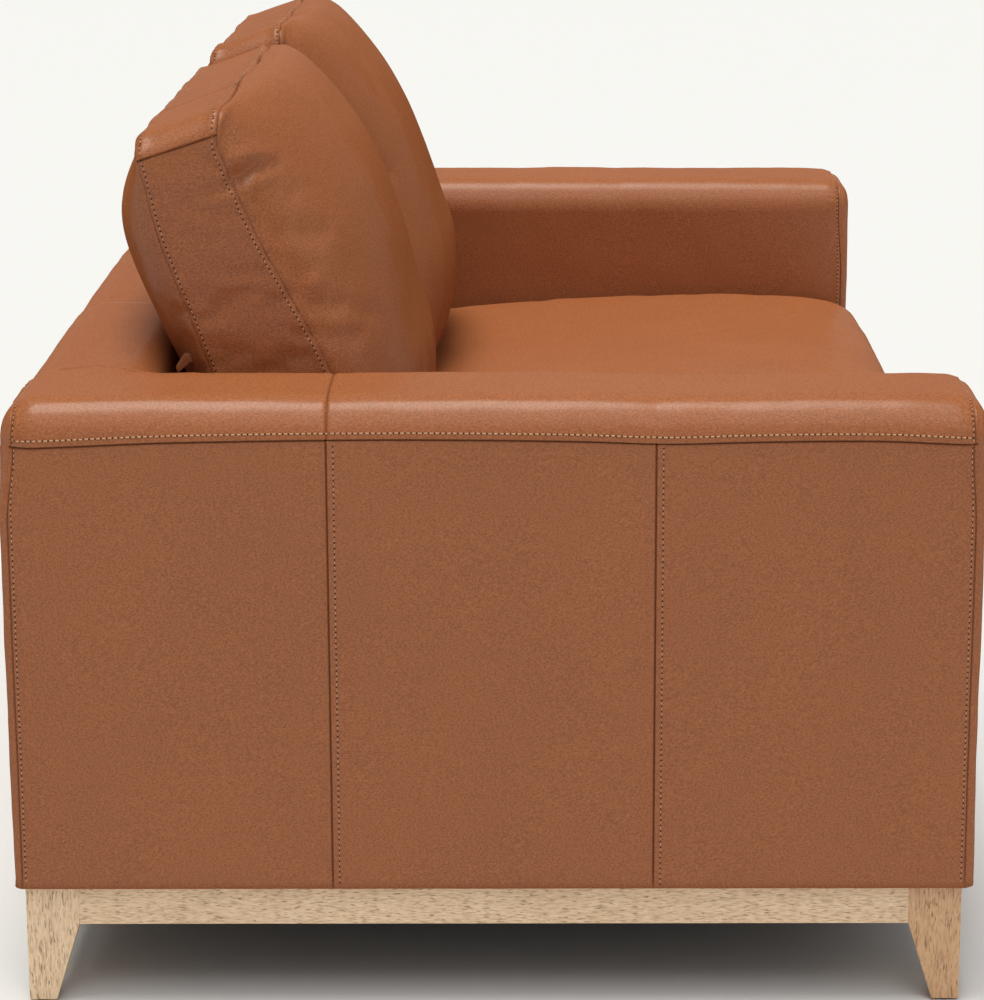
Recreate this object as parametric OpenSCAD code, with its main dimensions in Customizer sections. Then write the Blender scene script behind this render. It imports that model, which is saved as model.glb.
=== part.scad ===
// Two-seat sofa in box-arm form: oak plinth base with tapered corner legs, timber body frame with
// elastic webbing, foam padding, leather covers, and four loose cushions with zipped covers.
// Frame: origin at the middle of the footprint on the floor, +Z up, X across the width, front at -Y.
// Left and right are those of a person sitting on the sofa: left is +X.

/* [Overall] */
// Width over both arms
sofa_w = 1600; // [1500:10:1800]
// Depth from front to back
sofa_d = 950; // [900:10:1000]
// Height of the arms and of the back rail
arm_h = 615; // [590:5:640]
// Thickness of an arm
arm_t = 170; // [150:5:200]
// Thickness of the back rail
back_t = 145; // [130:5:160]
// Height of the underside of the upholstered body
body_z = 123; // [110:1:140]
// Rounding of the top edges of arms and back rail
top_r = 42; // [20:1:50]
// Height of the seam under the top band
band_z = 570; // [560:1:578]

/* [Base] */
// Distance that the wooden base stands in from the body's faces
base_inset = 10; // [5:1:20]
// Side of the square block at the top of a leg
leg_top_w = 52; // [44:1:60]
// Side of a leg's foot
leg_foot_w = 27; // [24:1:36]
// Height of the base rails
base_rail_h = 41; // [36:1:46]
// Thickness of the base rails
base_rail_t = 26; // [22:1:32]
// Thickness of a foot glide
glide_h = 2; // [1:0.5:4]

/* [Padding] */
// Thickness of the leather
skin_t = 2; // [1.5:0.5:2.5]
// Foam on the sides of arms and back
side_foam_t = 16; // [12:1:20]
// Foam on the front faces
front_foam_t = 20; // [16:1:24]

/* [Seat cushions] */
// Height of the cushion's crown above the floor
seat_top_z = 460; // [450:1:465]
// Height of the seat deck
deck_z = 265; // [260:1:270]
// Rounding of the cushion's front top edge
seat_front_r = 60; // [40:1:70]
// Distance of the crown from the sofa's middle line, towards the front
seat_crown_y = 290; // [220:5:300]
// Radius of the crown from front to back
seat_crown_r = 3000; // [2600:50:3400]

/* [Back cushions] */
// Height of the cushion's underside above the floor
back_cushion_z = 441; // [440:1:450]
// Lean of the cushion from upright, in degrees
back_lean = 18; // [14:0.5:19]
// Height of the cushion along its lean
back_cushion_h = 468; // [450:1:475]
// Depth of the bulge in front of the lean line
back_front_bulge = 155; // [140:1:160]
// Depth of the bulge behind the lean line
back_rear_bulge = 128; // [110:1:130]
// Width of the side boxing
boxing_w = 116; // [100:1:130]

/* [Fit] */
// Gap between a cushion and an arm or the back rail
side_gap = 3; // [2:0.5:6]
// Gap between the two cushions of a pair
middle_gap = 4; // [2:0.5:6]
// Clearance of a loose cushion above what it lies on
rest_gap = 0.5; // [0.4:0.1:1]

/* [Hidden] */
$fn = 96;
half_w = sofa_w / 2;
half_d = sofa_d / 2;
inner_w = sofa_w - 2 * arm_t;
inner_x = inner_w / 2;
back_y = half_d - back_t;
far = 2000;

// Webbing: one layer from front to back, one across it, and the deck cloth on both
strap_t = 2.5;
strap_w = 60;
strap_count = 10;
cross_strap_count = 6;
back_strap_count = 9;
deck_t = 2;
cross_z = deck_z - deck_t - strap_t;
long_z = cross_z - strap_t;
return_w = 35;

// Timber
board_t = 4;
batten_t = 25;
top_board_t = 22;
top_foam_t = 45;
core_top_z = arm_h - skin_t - top_foam_t;
timber_z = body_z + 1;
core_in_x = inner_x + skin_t + side_foam_t;
core_out_x = half_w - skin_t - side_foam_t;
post_in_x = core_in_x + board_t;
post_out_x = core_out_x - board_t;
core_front_y = -half_d + skin_t + front_foam_t;
core_rear_y = half_d - skin_t - side_foam_t;
timber_rear_y = core_rear_y - board_t;
post_d = 45;
post_top_z = core_top_z - top_board_t;
side_rail_y0 = core_front_y + post_d;
side_rail_y1 = timber_rear_y - post_d;
low_rail_top_z = timber_z + 100;
seat_rail_t = 28;
seat_rail_y = back_y + skin_t + side_foam_t + strap_t;
upright_x = inner_x / 3;

// Base
base_x = half_w - base_inset;
base_y = half_d - base_inset;
base_rail_z = body_z - base_rail_h;
rail_set = 1;
rail_in = rail_set + base_rail_t;
brace_w = 60;
brace_z = base_rail_z + 6;
bearer_w = 60;
dust_inset = 5;
dowel_r = 4;
dowel_play = 0.05;
dowel_half = 28;
dowel_rise = 9;
screw_r = 2.5;
screw_play = 0.1;
screw_head_r = 5;
screw_head_h = 3;
screw_up = 62;
screw_a = 75;
screw_b = 46;
bearer_screw_y = 300;
glide_r = 11;

// Leather panels: the outer faces are cut in thirds
cut_gap = 0.5;
side_cuts = [-sofa_d / 6, sofa_d / 6];
back_cuts = [-sofa_w / 6, sofa_w / 6];

// Cushions
cushion_w = inner_x - side_gap - middle_gap / 2;
cushion_mid = middle_gap / 2 + cushion_w / 2;
core_play = 0.5;
arc_room = 4;
seat_rear_y = back_y - side_gap;
seat_base_z = deck_z + rest_gap;
seat_low_r = 20;
seat_rear_r = 35;
lean_y = 160;
lean_low = 60;
front_arc_r = 450;
front_arc_v = 190;
rear_arc_r = 800;
rear_arc_v = 330;
back_corner_r = 88;
zip_w = 460;
zip_h = 12;
back_zip_y = 205;

leather = [0.60, 0.35, 0.22];
oak = [0.80, 0.68, 0.51];
pine = [0.86, 0.74, 0.55];
hardboard = [0.52, 0.40, 0.29];
foam = [0.93, 0.89, 0.76];
strap = [0.30, 0.30, 0.31];
cloth = [0.16, 0.15, 0.15];
steel = [0.68, 0.68, 0.70];
brass = [0.55, 0.45, 0.30];
plastic = [0.22, 0.20, 0.18];

CUSHION_NODES = ["seat_cover_left", "seat_cover_right", "seat_core_left", "seat_core_right",
    "seat_zip_left", "seat_zip_right", "back_cover_left", "back_cover_right", "back_core_left",
    "back_core_right", "back_zip_left", "back_zip_right"];
BASE_NODES = ["leg_front_left", "leg_front_right", "leg_rear_left", "leg_rear_right", "foot_glides",
    "base_rail_front", "base_rail_rear", "base_rail_left", "base_rail_right", "base_bearer",
    "base_braces", "base_dowels", "base_screws", "dust_cover"];
TIMBER_NODES = ["frame_rail_front", "frame_rail_rear", "frame_rail_left", "frame_rail_right",
    "seat_rail_rear", "seat_bearer", "arm_posts_left", "arm_posts_right", "arm_top_board_left",
    "arm_top_board_right", "arm_panels_left", "arm_panels_right", "back_top_rail", "back_uprights",
    "back_panel", "seat_webbing", "back_webbing", "deck_cloth"];
COVER_NODES = ["arm_foam_left", "arm_foam_right", "back_foam", "front_foam", "arm_outer_leather_left",
    "arm_outer_leather_right", "arm_top_leather_left", "arm_top_leather_right",
    "arm_front_leather_left", "arm_front_leather_right", "arm_inner_leather_left",
    "arm_inner_leather_right", "back_outer_leather", "back_top_leather", "back_inner_leather",
    "front_leather"];

// ---- Helpers ----

// A box between two corners
module block(low, high) {
    translate(low)
        cube(high - low);
}

// Draws its children at +X for side 1 and mirrored to -X for side -1
module on_side(side) {
    mirror([side < 0 ? 1 : 0, 0, 0])
        children();
}

// Draws its children at +Y for end 1 and mirrored to -Y for end -1
module on_end(end) {
    mirror([0, end < 0 ? 1 : 0, 0])
        children();
}

// A rod along +X from the origin
module rod_x(r, length) {
    rotate([0, 90, 0])
        cylinder(r = r, h = length, $fn = 32);
}

// A rod along +Y from the origin
module rod_y(r, length) {
    rotate([-90, 0, 0])
        cylinder(r = r, h = length, $fn = 32);
}

// What a square corner at the origin loses when it is rounded to radius r
module corner_waste(r) {
    difference() {
        translate([-1, -1])
            square(r + 1);
        translate([r, r])
            circle(r);
    }
}

// A rectangle with its own radius at each corner: lower left, lower right, upper right, upper left
module rounded_rect(w, h, radii) {
    difference() {
        square([w, h]);
        if (radii[0] > 0) corner_waste(radii[0]);
        if (radii[1] > 0) translate([w, 0]) mirror([1, 0]) corner_waste(radii[1]);
        if (radii[2] > 0) translate([w, h]) rotate(180) corner_waste(radii[2]);
        if (radii[3] > 0) translate([0, h]) mirror([0, 1]) corner_waste(radii[3]);
    }
}

// Extrudes a profile drawn as (Y, Z) along X, from x0 to x1
module along_x(x0, x1) {
    translate([x0, 0, 0])
        rotate([90, 0, 90])
            linear_extrude(x1 - x0)
                children();
}

// Extrudes a profile drawn as (X, Z) along Y, from y0 to y1
module along_y(y0, y1) {
    translate([0, y1, 0])
        rotate([90, 0, 0])
            linear_extrude(y1 - y0)
                children();
}

// ---- Outer shape of the upholstered body, set in by a distance ----

module arm_envelope(inset) {
    r = top_r - inset;
    h = arm_h - inset - body_z;
    intersection() {
        along_y(-half_d + inset, half_d - inset)
            translate([inner_x + inset, body_z])
                rounded_rect(arm_t - 2 * inset, h, [0, 0, r, r]);
        along_x(inner_x, half_w)
            translate([-half_d + inset, body_z])
                rounded_rect(sofa_d - 2 * inset, h, [0, 0, r, r]);
    }
}

// The back rail runs into the middle of each arm, so that the two tops meet
module back_envelope(inset) {
    r = top_r - inset;
    h = arm_h - inset - body_z;
    end_x = half_w - arm_t / 2;
    along_x(-end_x, end_x)
        translate([back_y + inset, body_z])
            rounded_rect(back_t - 2 * inset, h, [0, 0, r, r]);
}

module body_envelope(inset) {
    union() {
        arm_envelope(inset);
        mirror([1, 0, 0])
            arm_envelope(inset);
        back_envelope(inset);
    }
}

module body_skin() {
    difference() {
        body_envelope(0);
        body_envelope(skin_t);
    }
}

// ---- Base ----

// One leg in the corner at the origin: square block above, tapering on its two inner faces below
module leg_shape() {
    outline = [[0, glide_h], [leg_foot_w, glide_h], [leg_top_w, base_rail_z], [leg_top_w, body_z],
        [0, body_z]];
    mid = base_rail_z + base_rail_h / 2;
    hole_r = dowel_r + dowel_play;
    difference() {
        intersection() {
            along_x(0, leg_top_w)
                polygon(outline);
            along_y(0, leg_top_w)
                polygon(outline);
        }
        for (rise = [-dowel_rise, dowel_rise]) {
            translate([leg_top_w - dowel_half, rail_in / 2, mid + rise])
                rod_x(hole_r, dowel_half + 1);
            translate([rail_in / 2, leg_top_w - dowel_half, mid + rise])
                rod_y(hole_r, dowel_half + 1);
        }
    }
}

// Puts a piece drawn in a corner at the origin into a corner of the base
module at_corner(side, end) {
    on_side(side)
        on_end(end)
            translate([base_x, base_y, 0])
                mirror([1, 0, 0])
                    mirror([0, 1, 0])
                        children();
}

module leg(side, end) {
    color(oak)
        at_corner(side, end)
            leg_shape();
}

module foot_glides() {
    color(plastic)
        for (side = [-1, 1], end = [-1, 1])
            at_corner(side, end)
                translate([leg_foot_w / 2, leg_foot_w / 2, 0])
                    cylinder(r = glide_r, h = glide_h);
}

// A rail along X between two legs, with its outer face at -Y, drawn for the front
module base_rail_x() {
    x1 = base_x - leg_top_w;
    mid = base_rail_z + base_rail_h / 2;
    color(oak)
        difference() {
            block([-x1, -base_y + rail_set, base_rail_z], [x1, -base_y + rail_in, body_z]);
            for (side = [-1, 1], rise = [-dowel_rise, dowel_rise])
                on_side(side)
                    translate([x1 - dowel_half, -base_y + rail_in / 2, mid + rise])
                        rod_x(dowel_r + dowel_play, dowel_half + 1);
        }
}

// A rail along Y between two legs, with its outer face at +X, drawn for the left side
module base_rail_y() {
    y1 = base_y - leg_top_w;
    mid = base_rail_z + base_rail_h / 2;
    color(oak)
        difference() {
            block([base_x - rail_in, -y1, base_rail_z], [base_x - rail_set, y1, body_z]);
            for (end = [-1, 1], rise = [-dowel_rise, dowel_rise])
                on_end(end)
                    translate([base_x - rail_in / 2, y1 - dowel_half, mid + rise])
                        rod_y(dowel_r + dowel_play, dowel_half + 1);
        }
}

module base_bearer() {
    y1 = base_y - rail_in;
    color(pine)
        difference() {
            block([-bearer_w / 2, -y1, brace_z], [bearer_w / 2, y1, body_z]);
            bearer_screw_holes();
        }
}

module base_braces() {
    outline = [[rail_in, leg_top_w], [leg_top_w, leg_top_w], [leg_top_w, rail_in],
        [leg_top_w + brace_w, rail_in], [rail_in, leg_top_w + brace_w]];
    color(pine)
        for (side = [-1, 1], end = [-1, 1])
            at_corner(side, end)
                difference() {
                    translate([0, 0, brace_z])
                        linear_extrude(body_z - brace_z)
                            polygon(outline);
                    corner_screw_hole();
                }
}

module base_dowels() {
    mid = base_rail_z + base_rail_h / 2;
    start = leg_top_w - dowel_half;
    color(pine)
        for (side = [-1, 1], end = [-1, 1], rise = [-dowel_rise, dowel_rise])
            at_corner(side, end) {
                translate([start, rail_in / 2, mid + rise])
                    rod_x(dowel_r, 2 * dowel_half);
                translate([rail_in / 2, start, mid + rise])
                    rod_y(dowel_r, 2 * dowel_half);
            }
}

module screw_hole() {
    translate([0, 0, brace_z - 1])
        cylinder(r = screw_r + screw_play, h = screw_up + 1, $fn = 32);
}

module corner_screw_hole() {
    translate([screw_a, screw_b, 0])
        screw_hole();
}

module bearer_screw_holes() {
    for (y = [-bearer_screw_y, 0, bearer_screw_y])
        translate([0, y, 0])
            screw_hole();
}

module screw_holes() {
    bearer_screw_holes();
    for (side = [-1, 1], end = [-1, 1])
        at_corner(side, end)
            corner_screw_hole();
}

module screw() {
    translate([0, 0, brace_z])
        cylinder(r = screw_r, h = screw_up - 1, $fn = 32);
    translate([0, 0, brace_z - screw_head_h])
        cylinder(r = screw_head_r, h = screw_head_h, $fn = 32);
}

module base_screws() {
    color(steel) {
        for (y = [-bearer_screw_y, 0, bearer_screw_y])
            translate([0, y, 0])
                screw();
        for (side = [-1, 1], end = [-1, 1])
            at_corner(side, end)
                translate([screw_a, screw_b, 0])
                    screw();
    }
}

module dust_cover() {
    x1 = base_x - dust_inset;
    y1 = base_y - dust_inset;
    color(cloth)
        difference() {
            block([-x1, -y1, body_z], [x1, y1, timber_z]);
            screw_holes();
        }
}

// ---- Timber frame ----

module frame_rail_front() {
    color(pine)
        block([-post_in_x, core_front_y, timber_z], [post_in_x, core_front_y + batten_t, long_z]);
}

module frame_rail_rear() {
    color(pine)
        block([-post_in_x, timber_rear_y - batten_t, timber_z],
            [post_in_x, timber_rear_y, low_rail_top_z]);
}

module frame_rail_side(side) {
    color(pine)
        on_side(side)
            block([post_in_x, side_rail_y0, timber_z], [post_in_x + batten_t, side_rail_y1, cross_z]);
}

module seat_rail_rear() {
    color(pine)
        block([-post_in_x, seat_rail_y, timber_z], [post_in_x, seat_rail_y + seat_rail_t, long_z]);
}

module seat_bearer() {
    color(pine)
        difference() {
            block([-batten_t / 2, core_front_y + batten_t, timber_z],
                [batten_t / 2, seat_rail_y, low_rail_top_z]);
            bearer_screw_holes();
        }
}

// Front and rear post of one arm
module arm_posts(side) {
    color(pine)
        difference() {
            on_side(side) {
                block([post_in_x, core_front_y, timber_z], [post_out_x, side_rail_y0, post_top_z]);
                block([post_in_x, side_rail_y1, timber_z], [post_out_x, timber_rear_y, post_top_z]);
            }
            screw_holes();
        }
}

module arm_top_board(side) {
    color(pine)
        on_side(side)
            block([post_in_x, core_front_y, post_top_z], [post_out_x, timber_rear_y, core_top_z]);
}

// Outer and inner hardboard of one arm
module arm_panels(side) {
    color(hardboard)
        on_side(side) {
            block([post_out_x, core_front_y, timber_z], [core_out_x, timber_rear_y, core_top_z]);
            block([core_in_x, core_front_y, deck_z], [post_in_x, back_y, core_top_z]);
        }
}

module back_top_rail() {
    color(pine)
        block([-post_in_x, seat_rail_y, post_top_z], [post_in_x, timber_rear_y, core_top_z]);
}

module back_uprights() {
    color(pine)
        for (side = [-1, 1])
            on_side(side)
                block([upright_x, seat_rail_y + seat_rail_t, timber_z],
                    [upright_x + batten_t, timber_rear_y - batten_t, post_top_z]);
}

module back_panel() {
    color(hardboard)
        block([-core_out_x, timber_rear_y, timber_z], [core_out_x, core_rear_y, core_top_z]);
}

// ---- Webbing and deck ----

module seat_webbing() {
    pitch = inner_w / strap_count;
    cross_pitch = (back_y - side_rail_y0) / cross_strap_count;
    color(strap) {
        for (i = [0 : strap_count - 1])
            translate([-inner_x + (i + 0.5) * pitch - strap_w / 2, core_front_y, long_z])
                cube([strap_w, seat_rail_y + seat_rail_t - core_front_y, strap_t]);
        for (i = [0 : cross_strap_count - 1])
            translate([-post_in_x - batten_t, side_rail_y0 + (i + 0.5) * cross_pitch - strap_w / 2,
                cross_z])
                cube([2 * (post_in_x + batten_t), strap_w, strap_t]);
    }
}

// Upright straps over the gaps between the seat's straps
module back_webbing() {
    pitch = inner_w / strap_count;
    color(strap)
        for (i = [1 : back_strap_count])
            translate([-inner_x + i * pitch - strap_w / 2, seat_rail_y - strap_t, low_rail_top_z])
                cube([strap_w, strap_t, core_top_z - low_rail_top_z]);
}

module deck_cloth() {
    color(cloth)
        block([-inner_x, -half_d + return_w, deck_z - deck_t], [inner_x, back_y, deck_z]);
}

// ---- Foam ----

module arm_foam(side) {
    color(foam)
        on_side(side)
            difference() {
                intersection() {
                    body_envelope(skin_t);
                    block([inner_x, -half_d, timber_z], [half_w, half_d, arm_h]);
                }
                block([core_in_x, core_front_y, 0], [core_out_x, core_rear_y, core_top_z]);
                block([0, -half_d - 1, 0], [core_in_x + 1, half_d, deck_z]);
                block([0, back_y + side_foam_t + skin_t, 0], [core_in_x + 1, core_rear_y, core_top_z]);
            }
}

module back_foam() {
    color(foam)
        difference() {
            intersection() {
                body_envelope(skin_t);
                block([-inner_x, 0, timber_z], [inner_x, half_d, arm_h]);
            }
            block([-inner_x - 1, back_y + side_foam_t + skin_t, 0],
                [inner_x + 1, core_rear_y, core_top_z]);
            block([-inner_x - 1, 0, 0], [inner_x + 1, core_rear_y, deck_z]);
        }
}

module front_foam() {
    color(foam)
        block([-inner_x, -half_d + skin_t, timber_z], [inner_x, core_front_y, deck_z - skin_t]);
}

// ---- Leather on the body ----

// The third of a face that is number i of 0 to 2, as a span along the face
function third(i, half, cuts) = [
    i == 0 ? -half : cuts[i - 1] + cut_gap / 2,
    i == 2 ? half : cuts[i] - cut_gap / 2
];

module arm_outer_leather(side) {
    color(leather)
        on_side(side)
            for (i = [0 : 2]) {
                span = third(i, half_d - skin_t, side_cuts);
                block([half_w - skin_t, span[0], body_z], [half_w, span[1], band_z]);
            }
}

// The top band of an arm, with one cross seam at the rear third
module arm_top_leather(side) {
    spans = [[-half_d, side_cuts[1] - cut_gap / 2], [side_cuts[1] + cut_gap / 2, half_d]];
    color(leather)
        on_side(side)
            for (span = spans)
                intersection() {
                    body_skin();
                    block([inner_x, span[0], band_z], [half_w, span[1], arm_h + 1]);
                }
}

module arm_front_leather(side) {
    color(leather)
        on_side(side)
            block([inner_x, -half_d, body_z], [half_w, -half_d + skin_t, band_z]);
}

module arm_inner_leather(side) {
    color(leather)
        on_side(side)
            block([inner_x, -half_d + skin_t, deck_z], [inner_x + skin_t, back_y, band_z]);
}

module back_outer_leather() {
    color(leather)
        for (i = [0 : 2]) {
            span = third(i, half_w, back_cuts);
            block([span[0], half_d - skin_t, body_z], [span[1], half_d, band_z]);
        }
}

module back_top_leather() {
    color(leather)
        for (i = [0 : 2]) {
            span = third(i, inner_x, back_cuts);
            intersection() {
                body_skin();
                block([span[0], 0, band_z], [span[1], half_d + 1, arm_h + 1]);
            }
        }
}

module back_inner_leather() {
    color(leather)
        block([-inner_x, back_y, deck_z], [inner_x, back_y + skin_t, band_z]);
}

// Front border with a strip turned over the front edge of the deck
module front_leather() {
    color(leather)
        union() {
            block([-inner_x, -half_d, body_z], [inner_x, -half_d + skin_t, deck_z]);
            block([-inner_x, -half_d, deck_z - skin_t], [inner_x, -half_d + return_w, deck_z]);
        }
}

// ---- Seat cushions ----

// Closed shape of a seat cushion, set in by a distance
module seat_shape(inset) {
    depth = half_d + seat_rear_y - 2 * inset;
    height = seat_top_z + arc_room - seat_base_z - 2 * inset;
    radii = [seat_low_r - inset, seat_low_r - inset, seat_rear_r - inset, seat_front_r - inset];
    x0 = middle_gap / 2 + inset;
    along_x(x0, x0 + cushion_w - 2 * inset)
        intersection() {
            translate([-half_d + inset, seat_base_z + inset])
                rounded_rect(depth, height, radii);
            translate([-seat_crown_y, seat_top_z - seat_crown_r])
                circle(seat_crown_r - inset, $fn = 720);
        }
}

// The zip's tape lies in a slot of the rear face
module seat_zip_slot() {
    mid = (seat_base_z + seat_top_z) / 2 - seat_rear_r;
    translate([cushion_mid - zip_w / 2, seat_rear_y - skin_t, mid])
        cube([zip_w, skin_t + 1, zip_h]);
}

module seat_cover(side) {
    color(leather)
        on_side(side)
            difference() {
                seat_shape(0);
                seat_shape(skin_t);
                seat_zip_slot();
            }
}

module seat_core(side) {
    color(foam)
        on_side(side)
            seat_shape(skin_t + core_play);
}

module seat_zip(side) {
    color(brass)
        on_side(side)
            intersection() {
                seat_zip_slot();
                block([0, 0, 0], [half_w, seat_rear_y, seat_top_z]);
            }
}

// ---- Back cushions ----

// Puts a shape drawn in the leaning frame in place: first axis across the thickness, second along the lean
module leaning() {
    translate([lean_y, back_cushion_z])
        rotate(-back_lean)
            children();
}

// Side view of a back cushion: two bulging faces, round top corners, flat underside
module back_profile(inset) {
    w = back_front_bulge + back_rear_bulge + 2 * (arc_room - inset);
    top_rise = back_cushion_h - inset;
    r = back_corner_r - inset;
    intersection() {
        leaning()
            intersection() {
                translate([-back_front_bulge - arc_room + inset, -lean_low])
                    rounded_rect(w, top_rise + lean_low, [0, 0, r, r]);
                translate([front_arc_r - back_front_bulge, front_arc_v])
                    circle(front_arc_r - inset, $fn = 360);
                translate([back_rear_bulge - rear_arc_r, rear_arc_v])
                    circle(rear_arc_r - inset, $fn = 360);
            }
        translate([0, back_cushion_z + inset])
            square([half_d, far]);
    }
}

// Plan of a back cushion across its lean: a lens cut square at the side boxings
module back_plan(inset) {
    half = cushion_w / 2;
    front_rise = back_front_bulge - boxing_w / 2;
    rear_rise = back_rear_bulge - boxing_w / 2;
    front_r = (half * half + front_rise * front_rise) / (2 * front_rise);
    rear_r = (half * half + rear_rise * rear_rise) / (2 * rear_rise);
    intersection() {
        translate([-half + inset, -far / 2])
            square([cushion_w - 2 * inset, far]);
        translate([0, front_r - back_front_bulge])
            circle(front_r - inset, $fn = 360);
        translate([0, back_rear_bulge - rear_r])
            circle(rear_r - inset, $fn = 360);
    }
}

module back_shape(inset) {
    x0 = middle_gap / 2;
    intersection() {
        along_x(x0, x0 + cushion_w)
            back_profile(inset);
        translate([cushion_mid, lean_y, back_cushion_z])
            rotate([-back_lean, 0, 0])
                translate([0, 0, -far / 2])
                    linear_extrude(far)
                        back_plan(inset);
    }
}

// The zip's tape lies in a slot of the underside
module back_zip_slot() {
    translate([cushion_mid - zip_w / 2, back_zip_y, back_cushion_z - 1])
        cube([zip_w, zip_h, skin_t + 1]);
}

module back_cover(side) {
    color(leather)
        on_side(side)
            difference() {
                back_shape(0);
                back_shape(skin_t);
                back_zip_slot();
            }
}

module back_core(side) {
    color(foam)
        on_side(side)
            back_shape(skin_t + core_play);
}

module back_zip(side) {
    color(brass)
        on_side(side)
            intersection() {
                back_zip_slot();
                block([0, 0, back_cushion_z], [half_w, half_d, seat_top_z + far]);
            }
}

// ---- Nodes ----

leg(1, -1);  // leg_front_left
leg(-1, -1);  // leg_front_right
leg(1, 1);  // leg_rear_left
leg(-1, 1);  // leg_rear_right
foot_glides();
base_rail_x();  // base_rail_front
mirror([0, 1, 0]) base_rail_x();  // base_rail_rear
base_rail_y();  // base_rail_left
mirror([1, 0, 0]) base_rail_y();  // base_rail_right
base_bearer();
base_braces();
base_dowels();
base_screws();
dust_cover();
frame_rail_front();
frame_rail_rear();
frame_rail_side(1);  // frame_rail_left
frame_rail_side(-1);  // frame_rail_right
seat_rail_rear();
seat_bearer();
arm_posts(1);  // arm_posts_left
arm_posts(-1);  // arm_posts_right
arm_top_board(1);  // arm_top_board_left
arm_top_board(-1);  // arm_top_board_right
arm_panels(1);  // arm_panels_left
arm_panels(-1);  // arm_panels_right
back_top_rail();
back_uprights();
back_panel();
seat_webbing();
back_webbing();
deck_cloth();
arm_foam(1);  // arm_foam_left
arm_foam(-1);  // arm_foam_right
back_foam();
front_foam();
arm_outer_leather(1);  // arm_outer_leather_left
arm_outer_leather(-1);  // arm_outer_leather_right
arm_top_leather(1);  // arm_top_leather_left
arm_top_leather(-1);  // arm_top_leather_right
arm_front_leather(1);  // arm_front_leather_left
arm_front_leather(-1);  // arm_front_leather_right
arm_inner_leather(1);  // arm_inner_leather_left
arm_inner_leather(-1);  // arm_inner_leather_right
back_outer_leather();
back_top_leather();
back_inner_leather();
front_leather();
seat_cover(1);  // seat_cover_left
seat_cover(-1);  // seat_cover_right
seat_core(1);  // seat_core_left
seat_core(-1);  // seat_core_right
seat_zip(1);  // seat_zip_left
seat_zip(-1);  // seat_zip_right
back_cover(1);  // back_cover_left
back_cover(-1);  // back_cover_right
back_core(1);  // back_core_left
back_core(-1);  // back_core_right
back_zip(1);  // back_zip_left
back_zip(-1);  // back_zip_right
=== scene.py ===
"""Two-seat leather sofa with an oak plinth base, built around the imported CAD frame, in metres."""
import math
import bpy
import numpy as np
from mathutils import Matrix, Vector
from mathutils.bvhtree import BVHTree


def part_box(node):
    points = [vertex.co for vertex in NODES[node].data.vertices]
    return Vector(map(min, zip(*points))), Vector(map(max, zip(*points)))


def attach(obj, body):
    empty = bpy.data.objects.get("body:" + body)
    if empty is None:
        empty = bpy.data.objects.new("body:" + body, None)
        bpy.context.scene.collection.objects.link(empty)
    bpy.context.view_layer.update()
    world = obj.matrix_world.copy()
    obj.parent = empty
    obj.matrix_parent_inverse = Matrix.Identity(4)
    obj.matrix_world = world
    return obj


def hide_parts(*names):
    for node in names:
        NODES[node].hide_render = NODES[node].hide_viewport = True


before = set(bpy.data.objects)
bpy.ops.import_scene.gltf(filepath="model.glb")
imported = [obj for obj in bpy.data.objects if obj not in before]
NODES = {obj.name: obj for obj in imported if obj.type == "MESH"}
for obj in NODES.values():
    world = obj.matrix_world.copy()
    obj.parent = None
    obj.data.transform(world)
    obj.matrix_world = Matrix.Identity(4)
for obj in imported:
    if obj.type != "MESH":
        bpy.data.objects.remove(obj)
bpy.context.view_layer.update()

# ---- Sizes taken from the frame ----

HALF_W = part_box("arm_outer_leather_left")[1].x
HALF_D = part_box("back_outer_leather")[1].y
INNER_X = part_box("arm_inner_leather_left")[0].x
ARM_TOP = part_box("arm_top_leather_left")[1].z
BODY_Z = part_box("arm_outer_leather_left")[0].z
BAND_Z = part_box("arm_outer_leather_left")[1].z + 0.008
DECK_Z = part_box("deck_cloth")[1].z
BACK_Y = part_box("back_inner_leather")[0].y
THIRD_D = HALF_D / 3
THIRD_W = HALF_W / 3
SEAM_Y = HALF_D - 0.0080
STITCH_GAP = 0.0063
STITCH_PITCH = 0.0056
ARM_MID = (INNER_X + HALF_W) / 2
ARM_HALF = (HALF_W - INNER_X) / 2
SIDES = {1: "left", -1: "right"}


# ---- Numbers and shapes ----

def smooth(x):
    """Smooth step from 0 at x = 0 to 1 at x = 1."""
    x = np.clip(x, 0.0, 1.0)
    return x * x * (3 - 2 * x)


def hill(distance, width):
    """1 at no distance, falling to 0 over about twice the width."""
    return np.exp(-((distance / width) ** 2))


def lumps(points, size, seed):
    """Smooth random relief of about -1 to 1, with features of the given size and half of it."""
    rng = np.random.default_rng(seed)
    total = np.zeros(len(points))
    for octave in range(2):
        for _ in range(7):
            way = rng.normal(size=3)
            way *= 2 * math.pi * 2 ** octave * rng.uniform(0.6, 1.2) / (size * 2 * np.linalg.norm(way))
            total += 0.5 ** octave * np.sin(points @ way + rng.uniform(0, 2 * math.pi))
    return total / 3.2


def unit(ways):
    """Vectors of length 1 in the given directions."""
    return ways / np.maximum(np.linalg.norm(ways, axis=-1, keepdims=True), 1e-12)


def length_along(path):
    """Length from the start of a path to each of its points."""
    return np.concatenate([[0], np.cumsum(np.linalg.norm(np.diff(path, axis=0), axis=1))])


def read_path(path, run, marks):
    """Points of a path at the given lengths along it."""
    return np.stack([np.interp(marks, run, column) for column in np.asarray(path).T], -1)


def closed(rings):
    """Rings of point numbers, with the first point of each again at its end."""
    return np.concatenate([rings, rings[:, :1]], 1)


# Distances of the grid lines beside a seam, in millimetres
SEAM_LINES = (0, 0.35, 0.7, 1.1, 1.6, 2.3, 3.2, 4.4, 6.0, 8.0, 10.5)


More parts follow.
